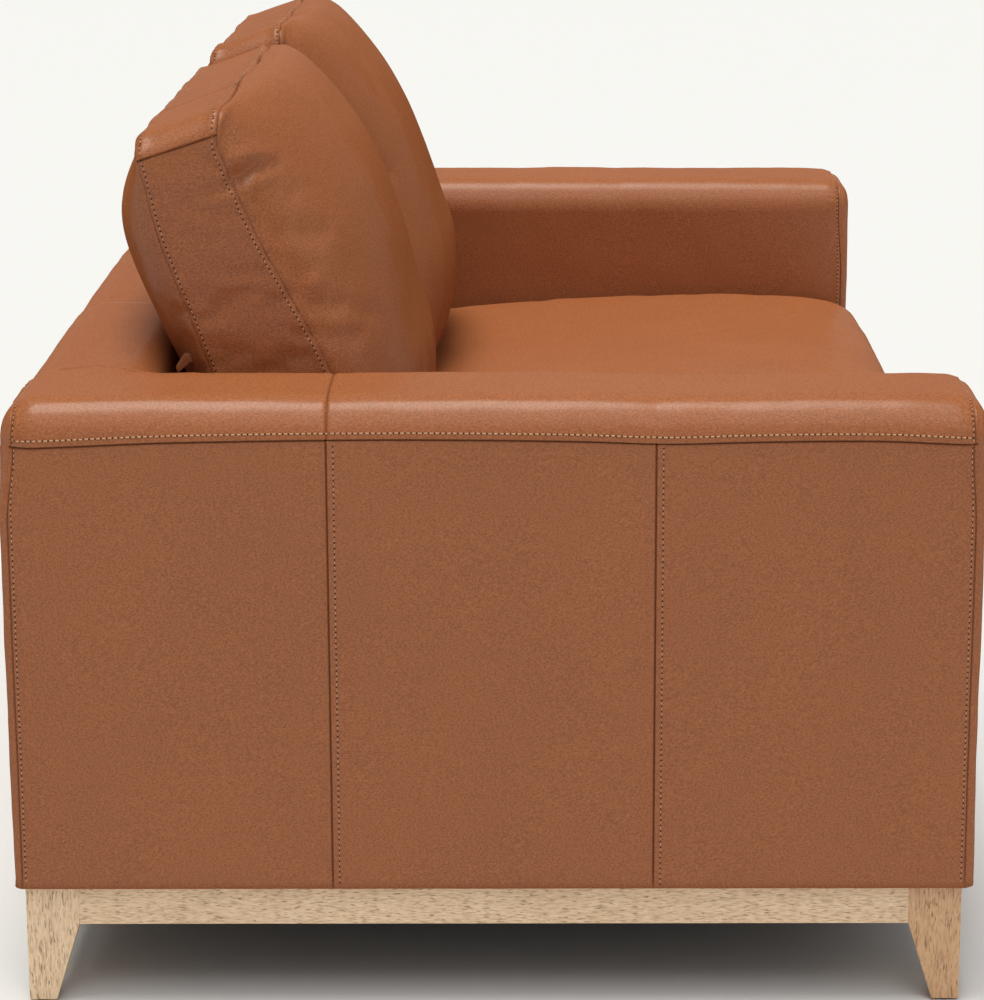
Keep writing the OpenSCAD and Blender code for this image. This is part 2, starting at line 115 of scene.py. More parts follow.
def lines(low, high, step, seams=(), zones=()):
    """Grid lines from low to high: very close around seams, and 3 mm apart inside the zones."""
    marks = np.linspace(low, high, max(2, round((high - low) / step) + 1))
    for start, end in zones:
        inside = (marks > start - 0.001) & (marks < end + 0.001)
        marks = np.concatenate([marks[~inside], np.arange(start, end + 1e-6, 0.003)])
    for place in seams:
        near = np.array(SEAM_LINES) * 0.001
        marks = np.concatenate([marks[np.abs(marks - place) > 0.0125], place - near, place + near])
    marks = np.concatenate([[low, high], marks[(marks > low + 4e-4) & (marks < high - 4e-4)]])
    return np.unique(np.round(marks, 6))


def lattice(xs, ys, zs):
    """Points and quads of the outside of a lattice of grid lines."""
    shape = (len(xs), len(ys), len(zs))
    outside = np.zeros(shape, bool)
    outside[[0, -1]] = outside[:, [0, -1]] = outside[:, :, [0, -1]] = True
    index = np.full(shape, -1)
    index[outside] = np.arange(outside.sum())
    place = np.argwhere(outside)
    points = np.stack([xs[place[:, 0]], ys[place[:, 1]], zs[place[:, 2]]], 1)
    quads = []
    for axis in range(3):
        for end in (0, -1):
            flip = (end == 0) != (axis == 1)
            quads.append(grid_quads(np.take(index, end, axis), flip))
    return points, np.concatenate(quads)


def grid_quads(index, flip=False):
    """Quads over a grid of point numbers."""
    quads = np.stack([index[:-1, :-1], index[1:, :-1], index[1:, 1:], index[:-1, 1:]], -1)
    quads = quads.reshape(-1, 4)
    return quads[:, ::-1] if flip else quads


def rounded(points, low, high, radius):
    """Moves points from a box's faces to the box with round edges. Gives places and normals."""
    core = np.clip(points, low + radius, high - radius)
    way = unit((points - core) / radius)
    return core + way * radius, unit(way / radius)


def add_mesh(name, points, quads, material, shade=None, body="frame", wrinkle=None):
    """A smooth-shaded mesh that rides on a body. Shade is its share of painted seam shadow, wrinkle its share
    of creases with their painted shade and highlight, per point."""
    mesh = bpy.data.meshes.new(name)
    mesh.from_pydata(np.asarray(points).tolist(), [], np.asarray(quads).tolist())
    mesh.polygons.foreach_set("use_smooth", np.ones(len(mesh.polygons), bool))
    mesh.materials.append(material)
    for label, values in (("seam_shade", shade), ("wrinkle", wrinkle)):
        if values is not None:
            layer = mesh.attributes.new(label, "FLOAT", "POINT")
            layer.data.foreach_set("value", np.asarray(values, np.float32))
    piece = bpy.data.objects.new(name, mesh)
    bpy.context.scene.collection.objects.link(piece)
    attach(piece, body)
    return piece


def mesh_normals(points, quads):
    """Normal at each point of a quad mesh, from the quads around it."""
    face = np.cross(points[quads[:, 2]] - points[quads[:, 0]], points[quads[:, 3]] - points[quads[:, 1]])
    normal = np.zeros_like(points)
    for corner in range(4):
        np.add.at(normal, quads[:, corner], face)
    return unit(normal)


def groove(distance, depth=0.0017, width=0.0013):
    """A sewn seam: a narrow groove with a soft roll on each side of it."""
    d = np.abs(distance)
    return -depth * hill(d, width) + 0.0005 * hill(d - 0.0052, 0.0034)


def lap(distance, height=0.0013):
    """A lapped seam: leather on the side of positive distance lies over the other side."""
    over = smooth(distance / 0.0007 + 0.5) * np.exp(-np.maximum(distance, 0) / 0.03)
    return height * over - 0.0012 * hill(distance + 0.0006, 0.0008) + 0.0003 * hill(distance + 0.0028, 0.0015)


def swell(reach, height, width):
    """A soft rise away from an edge or seam: 0 on it, and nearly the height at twice the width."""
    return height * (1 - np.exp(-np.maximum(reach, 0) / width))


SHADE_WIDTH = 0.0008


def lapped(where, distance, height):
    """Relief and seam shade of a lapped seam on the part of a surface where it runs."""
    return np.stack([where * lap(distance, height), where * hill(distance + 0.0004, SHADE_WIDTH)])


def grooved(where, distance, depth, shade, width=SHADE_WIDTH):
    """Relief and seam shade of a sewn groove on the part of a surface where it runs."""
    return np.stack([where * groove(distance, depth), where * shade * hill(distance, width)])


# ---- Materials ----

def put(tree, source, socket):
    """Links a socket to another one, or sets it to a plain value."""
    if isinstance(source, bpy.types.NodeSocket):
        tree.links.new(source, socket)
    else:
        socket.default_value = source


def add_node(tree, kind, inputs, out=0, **settings):
    """A new shader node with its inputs linked or set. Gives one of its outputs."""
    node = tree.nodes.new("ShaderNode" + kind)
    for label, value in settings.items():
        setattr(node, label, value)
    for socket, source in inputs.items():
        put(tree, source, node.inputs[socket])
    return node.outputs[out]


class Shader:
    """A few short calls for building a node material."""

    def __init__(self, name, **sockets):
        self.material = bpy.data.materials.new(name)
        self.material.use_nodes = True
        for socket, value in sockets.items():
            self.set(socket.replace("_", " "), value)
        self.place = self.node("TexCoord", {}, "Object")

    def node(self, kind, inputs, out=0, **settings):
        return add_node(self.material.node_tree, kind, inputs, out, **settings)

    def set(self, socket, source):
        tree = self.material.node_tree
        put(tree, source, tree.nodes["Principled BSDF"].inputs[socket])

    def stretched(self, stretch, tilt=0.0, source=None):
        """Coordinates turned about X and then scaled, so that a texture can run along a slant."""
        inputs = {"Vector": source or self.place, "Scale": [1 / share for share in stretch],
                  "Rotation": (tilt, 0, 0)}
        return self.node("Mapping", inputs, vector_type="TEXTURE")

    def warped(self, scale, amount):
        """Object coordinates pushed about by a coloured noise."""
        wobble = self.node("TexNoise", {"Vector": self.place, "Scale": scale}, "Color")
        small = self.node("VectorMath", {0: wobble, "Scale": amount}, operation="SCALE")
        return self.node("VectorMath", {0: self.place, 1: small}, operation="ADD")

    def noise(self, scale, detail=3.0, vector=None, distortion=0.0, roughness=0.5):
        return self.node("TexNoise", {"Vector": vector or self.place, "Scale": scale, "Detail": detail,
                                      "Roughness": roughness, "Distortion": distortion}, "Fac")

    def math(self, operation, a, b=0.0, clamp=False):
        return self.node("Math", {0: a, 1: b}, operation=operation, use_clamp=clamp)

    def span(self, value, low, high, to_low=0.0, to_high=1.0):
        """A value's range from low to high, mapped onto another range."""
        return self.node("MapRange", {"Value": value, "From Min": low, "From Max": high,
                                      "To Min": to_low, "To Max": to_high}, "Result")

    def mix(self, share, a, b):
        return self.node("Mix", {"Factor": share, 6: a, 7: b}, 2, data_type="RGBA")

    def layered(self, colour, *layers):
        """A colour with others laid over it: each by a span of a value, as (value, span, colour)."""
        for value, limits, over in layers:
            colour = self.mix(self.span(value, *limits), colour, over)
        return colour

    def facing(self):
        """0 where the surface faces the viewer, 1 where it is seen edge on."""
        return self.node("LayerWeight", {}, "Facing")

    def upward(self):
        """The height part of the surface's normal: 1 where it faces straight up."""
        return self.node("SeparateXYZ", {0: self.node("NewGeometry", {}, "Normal")}, "Z")

    def attribute(self, name):
        return self.node("Attribute", {}, "Fac", attribute_name=name)

    def bump(self, height, strength, distance, **normal):
        """Relief from a height in metres times the distance. A bump under it may be given as Normal."""
        return self.node("Bump", {"Strength": strength, "Distance": distance, "Height": height, **normal})


LEATHER = (0.340, 0.116, 0.045)


def leather_material(name, grain, wrinkled):
    """Tan leather with a satin finish: fine pebbles all over, and slanting creases near the seams, their
    hollows painted darker as shade and their tops lighter as highlight.
    """
    sh = Shader(name, Coat_Roughness=0.31)

    def tone(share):
        return (*[min(c * share, 1.0) for c in LEATHER], 1)

    facing = sh.facing()
    upward = sh.span(sh.upward(), 0.45, 0.95, 0.0, 0.28)
    sh.set("Coat Weight", sh.math("MAXIMUM", sh.span(facing, 0.22, 0.85, 0.42, 0.0), upward))
    sh.set("Specular IOR Level", sh.span(facing, 0.15, 0.80, 0.07, 0.0))
    slant = sh.stretched((1.0, 0.36, 1.0), -0.45, sh.warped(110.0, 0.006))
    creases = sh.noise(600.0, 1.5, slant, 0.4)
    pebbles = sh.noise(730.0, 1.0, sh.stretched((1.0, 0.62, 1.0), -0.15))
    pores = sh.noise(1300.0, 2.0)
    depth = sh.math("ADD", sh.attribute("wrinkle"), wrinkled, clamp=True)
    clouds = sh.noise(6.0, 3.0)
    # random tone from the clouds; painted shade in the pebble hollows and painted highlight on the pebble
    # tops
    colour = sh.layered(tone(0.97), (clouds, (0.35, 0.65), tone(1.03)),
                        (pebbles, (0.34, 0.50, 0.62, 0.0), tone(0.64)),
                        (pebbles, (0.54, 0.70, 0.0, 0.70), tone(1.34)))
    # painted shade in the crease hollows and painted highlight on the crease ridges, scaled by the wrinkle
    # share
    colour = sh.mix(sh.math("MULTIPLY", depth, sh.span(creases, 0.32, 0.48, 0.85, 0.0)), colour, tone(0.60))
    colour = sh.mix(sh.math("MULTIPLY", depth, sh.span(creases, 0.55, 0.70, 0.0, 0.70)), colour, tone(1.36))
    # painted seam shadow: the seam_shade attribute darkens the colour along seams
    shade = sh.math("MULTIPLY", sh.attribute("seam_shade"), 0.74, clamp=True)
    sh.set("Base Color", sh.mix(shade, colour, tone(0.20)))
    rough = sh.span(sh.noise(60.0, 3.0), 0.3, 0.7, 0.46, 0.54)
    sh.set("Roughness", sh.math("ADD", rough, sh.span(pebbles, 0.35, 0.6, 0.06, 0.0)))
    height = sh.math("ADD", sh.span(pebbles, 0.3, 0.7, 0.0, 0.45), sh.span(pores, 0.3, 0.7, 0.0, 0.15))
    height = sh.math("ADD", height, sh.math("MULTIPLY", depth, creases))
    waves = sh.noise(60.0, 3.0, sh.stretched((1.0, 0.6, 1.0), -0.3), 1.0)
    soft = sh.bump(waves, 0.05 * grain, 0.0020)
    sh.set("Normal", sh.bump(height, 0.60 * grain, 0.00085, Normal=soft))
    return sh.material


def thread_material(name, dark, light):
    """Sewing thread with a fine twist."""
    sh = Shader(name, Roughness=0.62, Sheen_Weight=0.2, Specular_IOR_Level=0.3)
    twist = sh.noise(900.0, 2.0)
    sh.set("Base Color", sh.mix(sh.span(twist, 0.35, 0.65), (*dark, 1), (*light, 1)))
    sh.set("Normal", sh.bump(twist, 0.4, 0.0003))
    return sh.material


def oak_material(name, along, tone=(1.0, 1.0, 1.0)):
    """Pale oak with the grain along one axis: 0 for X, 1 for Y, 2 for Z."""
    sh = Shader(name, Specular_IOR_Level=0.4)

    def shade(*colour):
        return (*[c * t for c, t in zip(colour, tone)], 1)

    def along_grain(share):
        return sh.stretched([share if i == along else 1.0 for i in range(3)])

    bands = sh.noise(34.0, 3.0, along_grain(0.2), 1.2)
    flecks = sh.noise(560.0, 2.0, along_grain(0.17), 0.3, 0.55)
    fibres = sh.noise(1100.0, 2.0, along_grain(0.12), 0.0, 0.6)
    pores = sh.noise(640.0, 1.0, along_grain(0.14))
    colour = sh.layered(shade(0.94, 0.70, 0.46), (bands, (0.34, 0.66), shade(0.85, 0.615, 0.395)),
                        (flecks, (0.50, 0.68, 0.0, 0.85), shade(0.60, 0.41, 0.25)),
                        (flecks, (0.32, 0.46, 0.60, 0.0), shade(0.98, 0.81, 0.60)),
                        (fibres, (0.35, 0.60, 0.24, 0.0), shade(0.48, 0.31, 0.18)),
                        (pores, (0.62, 0.69, 0.0, 0.75), shade(0.26, 0.155, 0.08)))
    sh.set("Base Color", colour)
    sh.set("Roughness", sh.span(fibres, 0.3, 0.7, 0.5, 0.38))
    sh.set("Normal", sh.bump(sh.math("SUBTRACT", fibres, sh.span(pores, 0.62, 0.72)), 0.22, 0.0005))
    return sh.material


def rough_material(name, dark, light, scale, roughness, stretch=(1, 1, 1), **sockets):
    """Plain workshop material with a mottled colour: boards, plastic, steel, and the painted shade of a
    needle hole.
    """
    sh = Shader(name, **sockets)
    grain = sh.noise(scale, 4.0, sh.stretched(stretch))
    sh.set("Base Color", sh.mix(grain, (*dark, 1), (*light, 1)))
    sh.set("Roughness", sh.span(grain, 0.2, 0.8, roughness + 0.08, roughness - 0.08))
    sh.set("Normal", sh.bump(grain, 0.35, 0.0004))
    return sh.material


def weave_material(name, dark, light, pitch):
    """Woven cloth: two sets of threads crossing."""
    sh = Shader(name, Roughness=0.9, Sheen_Weight=0.2)
    thread = {"Vector": sh.place, "Scale": 0.31 / pitch, "Distortion": 0.6}
    waves = [sh.node("TexWave", thread, "Fac", bands_direction=axis) for axis in ("X", "Y")]
    weave = sh.math("MAXIMUM", *waves)
    sh.set("Base Color", sh.mix(weave, (*dark, 1), (*light, 1)))
    sh.set("Normal", sh.bump(weave, 0.5, 0.0004))
    return sh.material


LEATHER_BODY = leather_material("leather_body", 0.8, 0.22)
LEATHER_CUSHION = leather_material("leather_cushion", 1.0, 0.05)
THREAD = thread_material("thread_brown", (0.34, 0.14, 0.065), (0.66, 0.36, 0.20))
# paler copy of the thread for the band row: painted highlight where the band catches the overhead light
THREAD_HIGHLIT = thread_material("thread_highlit", (0.46, 0.22, 0.105), (0.64, 0.37, 0.20))
# near-black discs of painted shade standing for the needle holes
HOLE_SHADE = rough_material("needle_hole_shade", (0.016, 0.006, 0.004), (0.030, 0.011, 0.007), 900.0, 0.85)
OAK = [oak_material(f"oak_grain_{axis}", i) for i, axis in enumerate("xyz")]
OAK_WARM = oak_material("oak_warm", 2, (0.80, 0.66, 0.56))
PINE = rough_material("pine", (0.52, 0.34, 0.18), (0.72, 0.52, 0.31), 90.0, 0.6, (0.08, 0.3, 0.3))
HARDBOARD = rough_material("hardboard", (0.16, 0.09, 0.05), (0.26, 0.16, 0.09), 500.0, 0.75)
PLASTIC = rough_material("glide_plastic", (0.025, 0.022, 0.02), (0.05, 0.045, 0.04), 300.0, 0.5)
STEEL = rough_material("zinc_steel", (0.42, 0.42, 0.44), (0.62, 0.62, 0.64), 260.0, 0.35, Metallic=1.0)
WEBBING = weave_material("webbing", (0.03, 0.03, 0.033), (0.11, 0.11, 0.115), 0.0022)
DARK_CLOTH = weave_material("underside_cloth", (0.012, 0.011, 0.011), (0.04, 0.038, 0.037), 0.0012)


# ---- Body: arms, back rail and front border ----

ARM_EDGE = 0.042
PATH_STEP = 0.003
# Height over which the upright edges of the arms and of the outer back grow rounder
ROUNDER_Z = 0.49
ROUNDER_REACH = 0.08


def band_height(y):
    """Height of the seam under an arm's top band: it dips towards both ends and once in between."""
    dips = 0.0055 * hill(y + HALF_D, 0.075) + 0.0065 * hill(y - HALF_D, 0.11)
    return BAND_Z + 0.0012 * np.sin(y * 11 + 0.6) - dips - 0.0022 * hill(y + 0.17, 0.06)


def arm_points(cube):
    """Places and normals of an arm (the one at +X) for points on its plain box."""
    x, y, z = cube.T
    under = (z < BODY_Z + 1e-6) & (np.abs(np.abs(y) - HALF_D) > 1e-6)
    z = z + (band_height(y) - BAND_Z) * smooth(1.3 - np.abs(z - BAND_Z) / 0.03)
    end = HALF_D - np.abs(y)
    capped = end < 1e-6
    inset = np.where(capped, np.minimum(ARM_HALF - np.abs(x - ARM_MID), ARM_TOP - z), 0)
    turn = 0.011 + np.where(y > 0, 0.027, 0.017) * smooth((z - ROUNDER_Z) / ROUNDER_REACH)
    u, v = np.maximum(turn - inset, 0), np.maximum(turn - end, 0)
    length = np.maximum(np.hypot(u, v), 1e-9)
    edge = (u > 0) & (v > 0)
    side_share = np.where(edge, u / length, np.where(capped, 0.0, 1.0))
    end_share = np.where(edge, v / length, np.where(capped, 1.0, 0.0))
    offset = np.where(edge, turn * (1 - side_share), inset)
    new_y = np.sign(y) * np.where(edge, HALF_D - turn * (1 - end_share), np.abs(y))
    inner = ARM_EDGE - 0.028 * smooth((y - 0.325) / 0.07)
    radius = np.where(x < ARM_MID, inner, ARM_EDGE)
    plain = np.stack([x, z], 1)
    core = np.stack([np.clip(x, INNER_X + inner, HALF_W - ARM_EDGE), np.minimum(z, ARM_TOP - radius)], 1)
    moved = ((np.linalg.norm(plain - core, axis=1) > 1e-9) & ~under)[:, None]
    way = np.where(moved, unit(plain - core), 0)
    new_x, new_z = np.where(moved, core + way * (radius - offset)[:, None], plain).T
    new_x = np.where(under, ARM_MID + (x - ARM_MID) * (1 - offset / ARM_HALF), new_x)
    normal = np.stack([way[:, 0] * side_share, np.sign(y) * end_share, way[:, 1] * side_share], 1)
    normal[under] = (0, 0, -1)
    return np.stack([new_x, new_y, new_z], 1), unit(normal)


# Crease in an arm's top where the back rail's leather is pulled over it: X and Y
REAR_CREASE = ((0.652, 0.433), (0.646, 0.414), (0.645, 0.392), (0.651, 0.371), (0.663, 0.358), (0.667, 0.327),
               (0.668, 0.300))


def arm_relief(cube, place, normal, seed):
    """How far an arm's leather stands out from its plain shape, and its seam shade."""
    x, y, z = cube.T
    outer = smooth((normal[:, 0] - 0.25) / 0.3) * (x > ARM_MID)
    capped = np.abs(y) > HALF_D - 1e-6
    around = np.where(capped | (z < BODY_Z + 1e-6), 0.0, 1.0)
    above = z - BAND_Z
    low_side = outer * (1 - smooth(above / 0.002 + 0.5))
    # band seam along the outer face, its upright seams, and the cross seam over the band
    seams = lapped(outer * around, above, 0.0017)
    for seam_y in (-THIRD_D, THIRD_D):
        seams += lapped(low_side, seam_y - y, 0.0010)
    seams += grooved((1 - low_side) * around, y - THIRD_D, 0.0012, 0.8)
    # outline seams of the front and rear faces, with folds at the top corners
    inward = SEAM_Y - np.abs(y)
    rise, shade = seams + grooved(around, inward, 0.0015, 0.85)
    corner = smooth((place[:, 2] - (ARM_TOP - 0.045)) / 0.02) * smooth((np.abs(normal[:, 0]) - 0.15) / 0.3)
    slant = inward + 0.10 * (place[:, 2] - ARM_TOP)
    rise += around * corner * 0.0009 * (hill(slant + 0.0045, 0.0016) + hill(slant - 0.0075, 0.0020))
    gathers = np.sin(2 * math.pi * (z + np.abs(x - ARM_MID)) / 0.011 + seed)
    rise += around * corner * 0.0006 * gathers * np.exp(-np.abs(inward - 0.006) / 0.009)
    # stuffing: panels swell between seams, and the leather is never quite flat
    reach = np.minimum.reduce([np.abs(y - THIRD_D), np.abs(y + THIRD_D), SEAM_Y - np.abs(y)])
    reach = np.minimum(reach, np.abs(above) + 0.3 * (1 - outer))
    rise += around * (swell(reach, 0.0016, 0.03) - 0.0012)
    depth = np.minimum(ARM_HALF - np.abs(x - ARM_MID), ARM_TOP - z)
    rise += np.where(capped & (y < 0), swell(depth, 0.0030, 0.016), 0)
    top = smooth((normal[:, 2] - 0.5) / 0.5)
    rise += top * 0.0018 * np.cos(y / HALF_D * 1.3)
    rise += top * 0.0030 * hill(y - 0.392, 0.030) * smooth((ARM_MID - x) / 0.05)
    path = spline(REAR_CREASE)(np.linspace(0, 1, 60))
    apart = np.full(len(cube), 1.0)
    near = np.nonzero((y > 0.28) & (top > 0.02))[0]
    apart[near] = np.linalg.norm(place[near, None, :2] - path, axis=2).min(1)
    rise += top * (0.0008 * hill(apart - 0.0045, 0.0032) - 0.0022 * hill(apart, 0.0016))
    shade += top * 0.55 * hill(apart, 0.0012)
    relief = 0.0007 * lumps(place, 0.16, seed) + 0.0003 * lumps(place, 0.035, seed + 50)
    return rise + relief * np.where(z < BODY_Z + 1e-6, 0, 1), shade


def arm(side, name):
    """One arm with its front, rear and inner faces. Side is 1 for the one at +X. Gives a function that
    lays paths on it."""
    xs = lines(INNER_X, HALF_W, 0.0075, (), ((INNER_X, INNER_X + 0.045), (HALF_W - 0.045, HALF_W)))
    ends = ((-HALF_D, -HALF_D + 0.028), (HALF_D - 0.039, HALF_D))
    ys = lines(-HALF_D, HALF_D, 0.0085, (-THIRD_D, THIRD_D, -SEAM_Y, SEAM_Y), ends)
    zs = lines(BODY_Z, ARM_TOP, 0.0085, (BAND_Z,), ((ARM_TOP - 0.0255, ARM_TOP),))
    cube, quads = lattice(xs, ys, zs)
    seed = 11 if side > 0 else 23
    place, normal = arm_points(cube)
    rise, shade = arm_relief(cube, place, normal, seed)
    points = place + normal * rise[:, None]
    if side < 0:
        points = points * (-1, 1, 1)
        quads = quads[:, ::-1]
    piece = add_mesh(name, points, quads, LEATHER_BODY, shade)
    covers = ("foam", "outer_leather", "top_leather", "front_leather", "inner_leather")
    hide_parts(*[f"arm_{part}_{SIDES[side]}" for part in covers])

    def surface(path):
        """Places and normals on this arm for a path of points on the plain box at +X."""
        path = np.array(path, float)
        place, normal = arm_points(path)
        rise, _ = arm_relief(path, place, normal, seed)
        flip = np.array([side, 1, 1])
        return (place + normal * rise[:, None]) * flip, normal * flip

    return surface


def back_rail(name):
    """The back rail between the arms; its ends run into them."""
    end_x = INNER_X + 0.045
    low = np.array([-end_x, BACK_Y, BODY_Z])
    high = np.array([end_x, HALF_D - 0.0005, ARM_TOP - 0.0012])
    ends = ((-end_x, -end_x + 0.066), (end_x - 0.066, end_x))
    xs = lines(-end_x, end_x, 0.010, (-THIRD_W, THIRD_W), ends)
    ys = lines(BACK_Y, high[1], 0.0075, (SEAM_Y,), ((BACK_Y, BACK_Y + 0.039),))
    zs = lines(BODY_Z, high[2], 0.009, (), ((high[2] - 0.039, high[2]),))
    cube, quads = lattice(xs, ys, zs)
    radius = np.full(cube.shape, 0.038)
    radius[cube[:, 2] < (BODY_Z + ARM_TOP) / 2, 2] = 0.004
    radius[:, 1] = 0.006 + 0.032 * smooth((cube[:, 2] - (ARM_TOP - 0.10)) / 0.06)
    radius[:, 0] = 0.004
    place, normal = rounded(cube, low, high, radius)
    rise, shade = back_relief(cube, place, normal)
    piece = add_mesh(name, place + normal * rise[:, None], quads, LEATHER_BODY, shade)
    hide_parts("back_foam", "back_top_leather", "back_inner_leather")
    return piece


def back_relief(cube, place, normal):
    """Relief and seam shade of the back rail."""
    x, y, _ = cube.T
    top = smooth((normal[:, 2] - 0.3) / 0.5)
    seams = grooved(top, y - SEAM_Y, 0.0012, 0.7, 0.0009)
    for seam_x in (-THIRD_W, THIRD_W):
        seams += grooved(1, x - seam_x, 0.0013, 0.55, 0.0009)
    rise, shade = seams
    reach = np.minimum(np.abs(x - THIRD_W), np.abs(x + THIRD_W))
    rise += top * swell(reach, 0.0020, 0.05)
    join = np.abs(np.abs(x) - (INNER_X + 0.009))
    rise -= top * 0.0045 * np.exp(-join / 0.010)
    shade += top * 0.6 * hill(join, 0.0035)
    rise += 0.0008 * lumps(place, 0.18, 31) + 0.0003 * lumps(place, 0.04, 32) - 0.0008
    return rise, shade


def back_panel(name):
    """The outer back: one wide panel in thirds over the back rail and the rear of both arms."""
    low = np.array([-HALF_W + 0.013, HALF_D - 0.010, BODY_Z])
    high = np.array([HALF_W - 0.013, HALF_D + 0.0008, BAND_Z - 0.004])
    xs = lines(low[0], high[0], 0.011, (-THIRD_W, THIRD_W))
    ys = lines(low[1], high[1], 0.0025)
    zs = lines(low[2], high[2], 0.011)
    cube, quads = lattice(xs, ys, zs)
    place, normal = rounded(cube, low, high, np.full(cube.shape, 0.0048))
    x, _, z = cube.T
    outer = smooth((normal[:, 1] - 0.5) / 0.4)
    rise, shade = sum(lapped(outer, x - seam_x, 0.0010) for seam_x in (-THIRD_W, THIRD_W))
    edge = np.minimum.reduce([high[0] - np.abs(x), high[2] - z, z - low[2]])
    reach = np.minimum.reduce([np.abs(x - THIRD_W), np.abs(x + THIRD_W), edge])
    rise += outer * swell(reach, 0.0016, 0.03)
    rise += outer * (0.0007 * lumps(place, 0.2, 41) + 0.0003 * lumps(place, 0.045, 42))
    points = place + normal * rise[:, None]
    points[:, 0] *= 1 - 0.022 * smooth((z - ROUNDER_Z) / ROUNDER_REACH)
    piece = add_mesh(name, points, quads, LEATHER_BODY, shade)
    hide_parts("back_outer_leather")
    return piece


def front_border(name):
    """The padded border under the seat cushions."""
    low = np.array([-INNER_X - 0.002, -HALF_D + 0.0006, BODY_Z])
    high = np.array([INNER_X + 0.002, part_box("front_leather")[1].y, DECK_Z + 0.0002])
    xs = lines(low[0], high[0], 0.011)
    ys = lines(low[1], high[1], 0.004)
    zs = lines(low[2], high[2], 0.007)
    cube, quads = lattice(xs, ys, zs)
    place, normal = rounded(cube, low, high, np.full(cube.shape, 0.007))
    front = smooth((-normal[:, 1] - 0.5) / 0.4)
    edge = np.minimum(high[2] - place[:, 2], place[:, 2] - low[2])
    rise = front * (swell(edge, 0.0022, 0.02) - 0.0016)
    rise += front * (0.0008 * lumps(place, 0.2, 51) + 0.0003 * lumps(place, 0.045, 52))
    piece = add_mesh(name, place + normal * rise[:, None], quads, LEATHER_BODY, np.zeros(len(place)))
    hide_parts("front_foam", "front_leather")
    return piece


# ---- Stitches ----

STITCH_SIDES = 6
STITCH_RINGS = ((-1.0, 0.35), (-0.72, 0.86), (0.0, 1.0), (0.72, 0.86), (1.0, 0.35))
HOLE_SIDES = 7


def turns(count):
    """Even turns around a circle."""
    return 2 * math.pi * np.arange(count) / count


class Stitches:
    """Collects rows of stitches on one body: threads, and dark discs of painted shade for the needle holes
    between them.
    """

    def __init__(self):
        self.threads = ([], [])
        self.holes = ([], [])

    def row(self, places, normals, length=0.0036, thick=0.0009, hole=0.00092):
        """Stitches along points of a surface, with a dark disc of painted needle-hole shade at both ends of
        each.
        """
        run = length_along(places)
        count = int(run[-1] // STITCH_PITCH)
        if count < 1:
            return
        marks = (run[-1] - count * STITCH_PITCH) / 2 + np.arange(count + 1) * STITCH_PITCH

        def frame_at(marks):
            middle, after, before = (read_path(places, run, marks + step) for step in (0, 0.001, -0.001))
            ahead = unit(after - before)
            up = read_path(normals, run, marks)
            up = unit(up - ahead * (up * ahead).sum(1, keepdims=True))
            return middle, ahead, up, np.cross(ahead, up)

        middle, ahead, up, across = frame_at(marks[:-1] + STITCH_PITCH / 2)
        points = []
        for along, size in STITCH_RINGS:
            for turn in turns(STITCH_SIDES):
                lift = 0.00018 + 0.5 * thick * size * math.sin(turn) - 0.0005 * along * along
                wide = 0.6 * thick * size * math.cos(turn)
                points.append(middle + ahead * (along * length / 2) + across * wide + up * lift)
        index = np.arange(len(points)).reshape(-1, STITCH_SIDES)
        self.add(self.threads, points, grid_quads(closed(index)))
        middle, ahead, up, across = frame_at(marks)
        points = [middle + up * 0.00005]
        for turn in turns(HOLE_SIDES):
            points.append(middle + (ahead * math.cos(turn) + across * math.sin(turn)) * hole + up * 0.00024)
        ring = 1 + np.arange(HOLE_SIDES)
        self.add(self.holes, points, np.stack([0 * ring, np.roll(ring, -1), ring], 1))

    @staticmethod
    def add(store, points, faces):
        """Adds one copy of the faces for each row of the points."""
        block = np.stack(points, 1)
        shift = sum(len(p) for p in store[0]) + block.shape[1] * np.arange(len(block))
        store[0].append(block.reshape(-1, 3))
        store[1].append((faces[None] + shift[:, None, None]).reshape(-1, faces.shape[1]))

    def on_mesh(self, tree, path, **options):
        """A row along a path near a mesh, laid on its surface."""
        hits = [tree.find_nearest(Vector(point), 0.05) for point in dense(path, PATH_STEP)]
        hits = [hit for hit in hits if hit[0] is not None]
        if len(hits) > 2:
            self.row(np.array([hit[0] for hit in hits]), np.array([hit[1] for hit in hits]), **options)

    def make(self, name, body, thread=THREAD):
        for label, store, material in (("", self.threads, thread), ("_hole_shadows", self.holes, HOLE_SHADE)):
            add_mesh(name + label, np.concatenate(store[0]), np.concatenate(store[1]), material, body=body)


def dense(path, step):
    """The points of a path, closer together than the step."""
    path = np.asarray(path, float)
    run = length_along(path)
    return read_path(path, run, np.linspace(0, run[-1], max(2, int(run[-1] / step) + 1)))


def tree_of(piece):
    """Search tree of a mesh's faces."""
    mesh = piece.data
    return BVHTree.FromPolygons([v.co for v in mesh.vertices], [p.vertices for p in mesh.polygons])


def arm_stitches(stitches, pale, surface):
    """The rows of one arm: a bold one along its band in the paler thread of painted highlight, finer ones by
    the other seams.
    """
    ys = np.arange(-SEAM_Y + 0.004, SEAM_Y - 0.004, PATH_STEP)
    band = [(HALF_W, y, BAND_Z + STITCH_GAP) for y in ys]
    # the band row's paler thread is a painted highlight
    pale.row(*surface(band), length=0.0044, thick=0.0013)
    for seam_y in (-THIRD_D, THIRD_D):
        zs = np.arange(BODY_Z + 0.004, BAND_Z - 0.002, PATH_STEP)
        stitches.row(*surface([(HALF_W, seam_y - STITCH_GAP, z) for z in zs]))
    for end in (-1, 1):
        y = end * (SEAM_Y - 0.0045)
        over = [(HALF_W, y, z) for z in np.arange(BODY_Z + 0.004, ARM_TOP, PATH_STEP)]
        over += [(x, y, ARM_TOP) for x in np.arange(HALF_W, INNER_X, -PATH_STEP)]
        over += [(INNER_X, y, z) for z in np.arange(ARM_TOP, DECK_Z, -PATH_STEP)]
        stitches.row(*surface(over))


# ---- Cushions ----

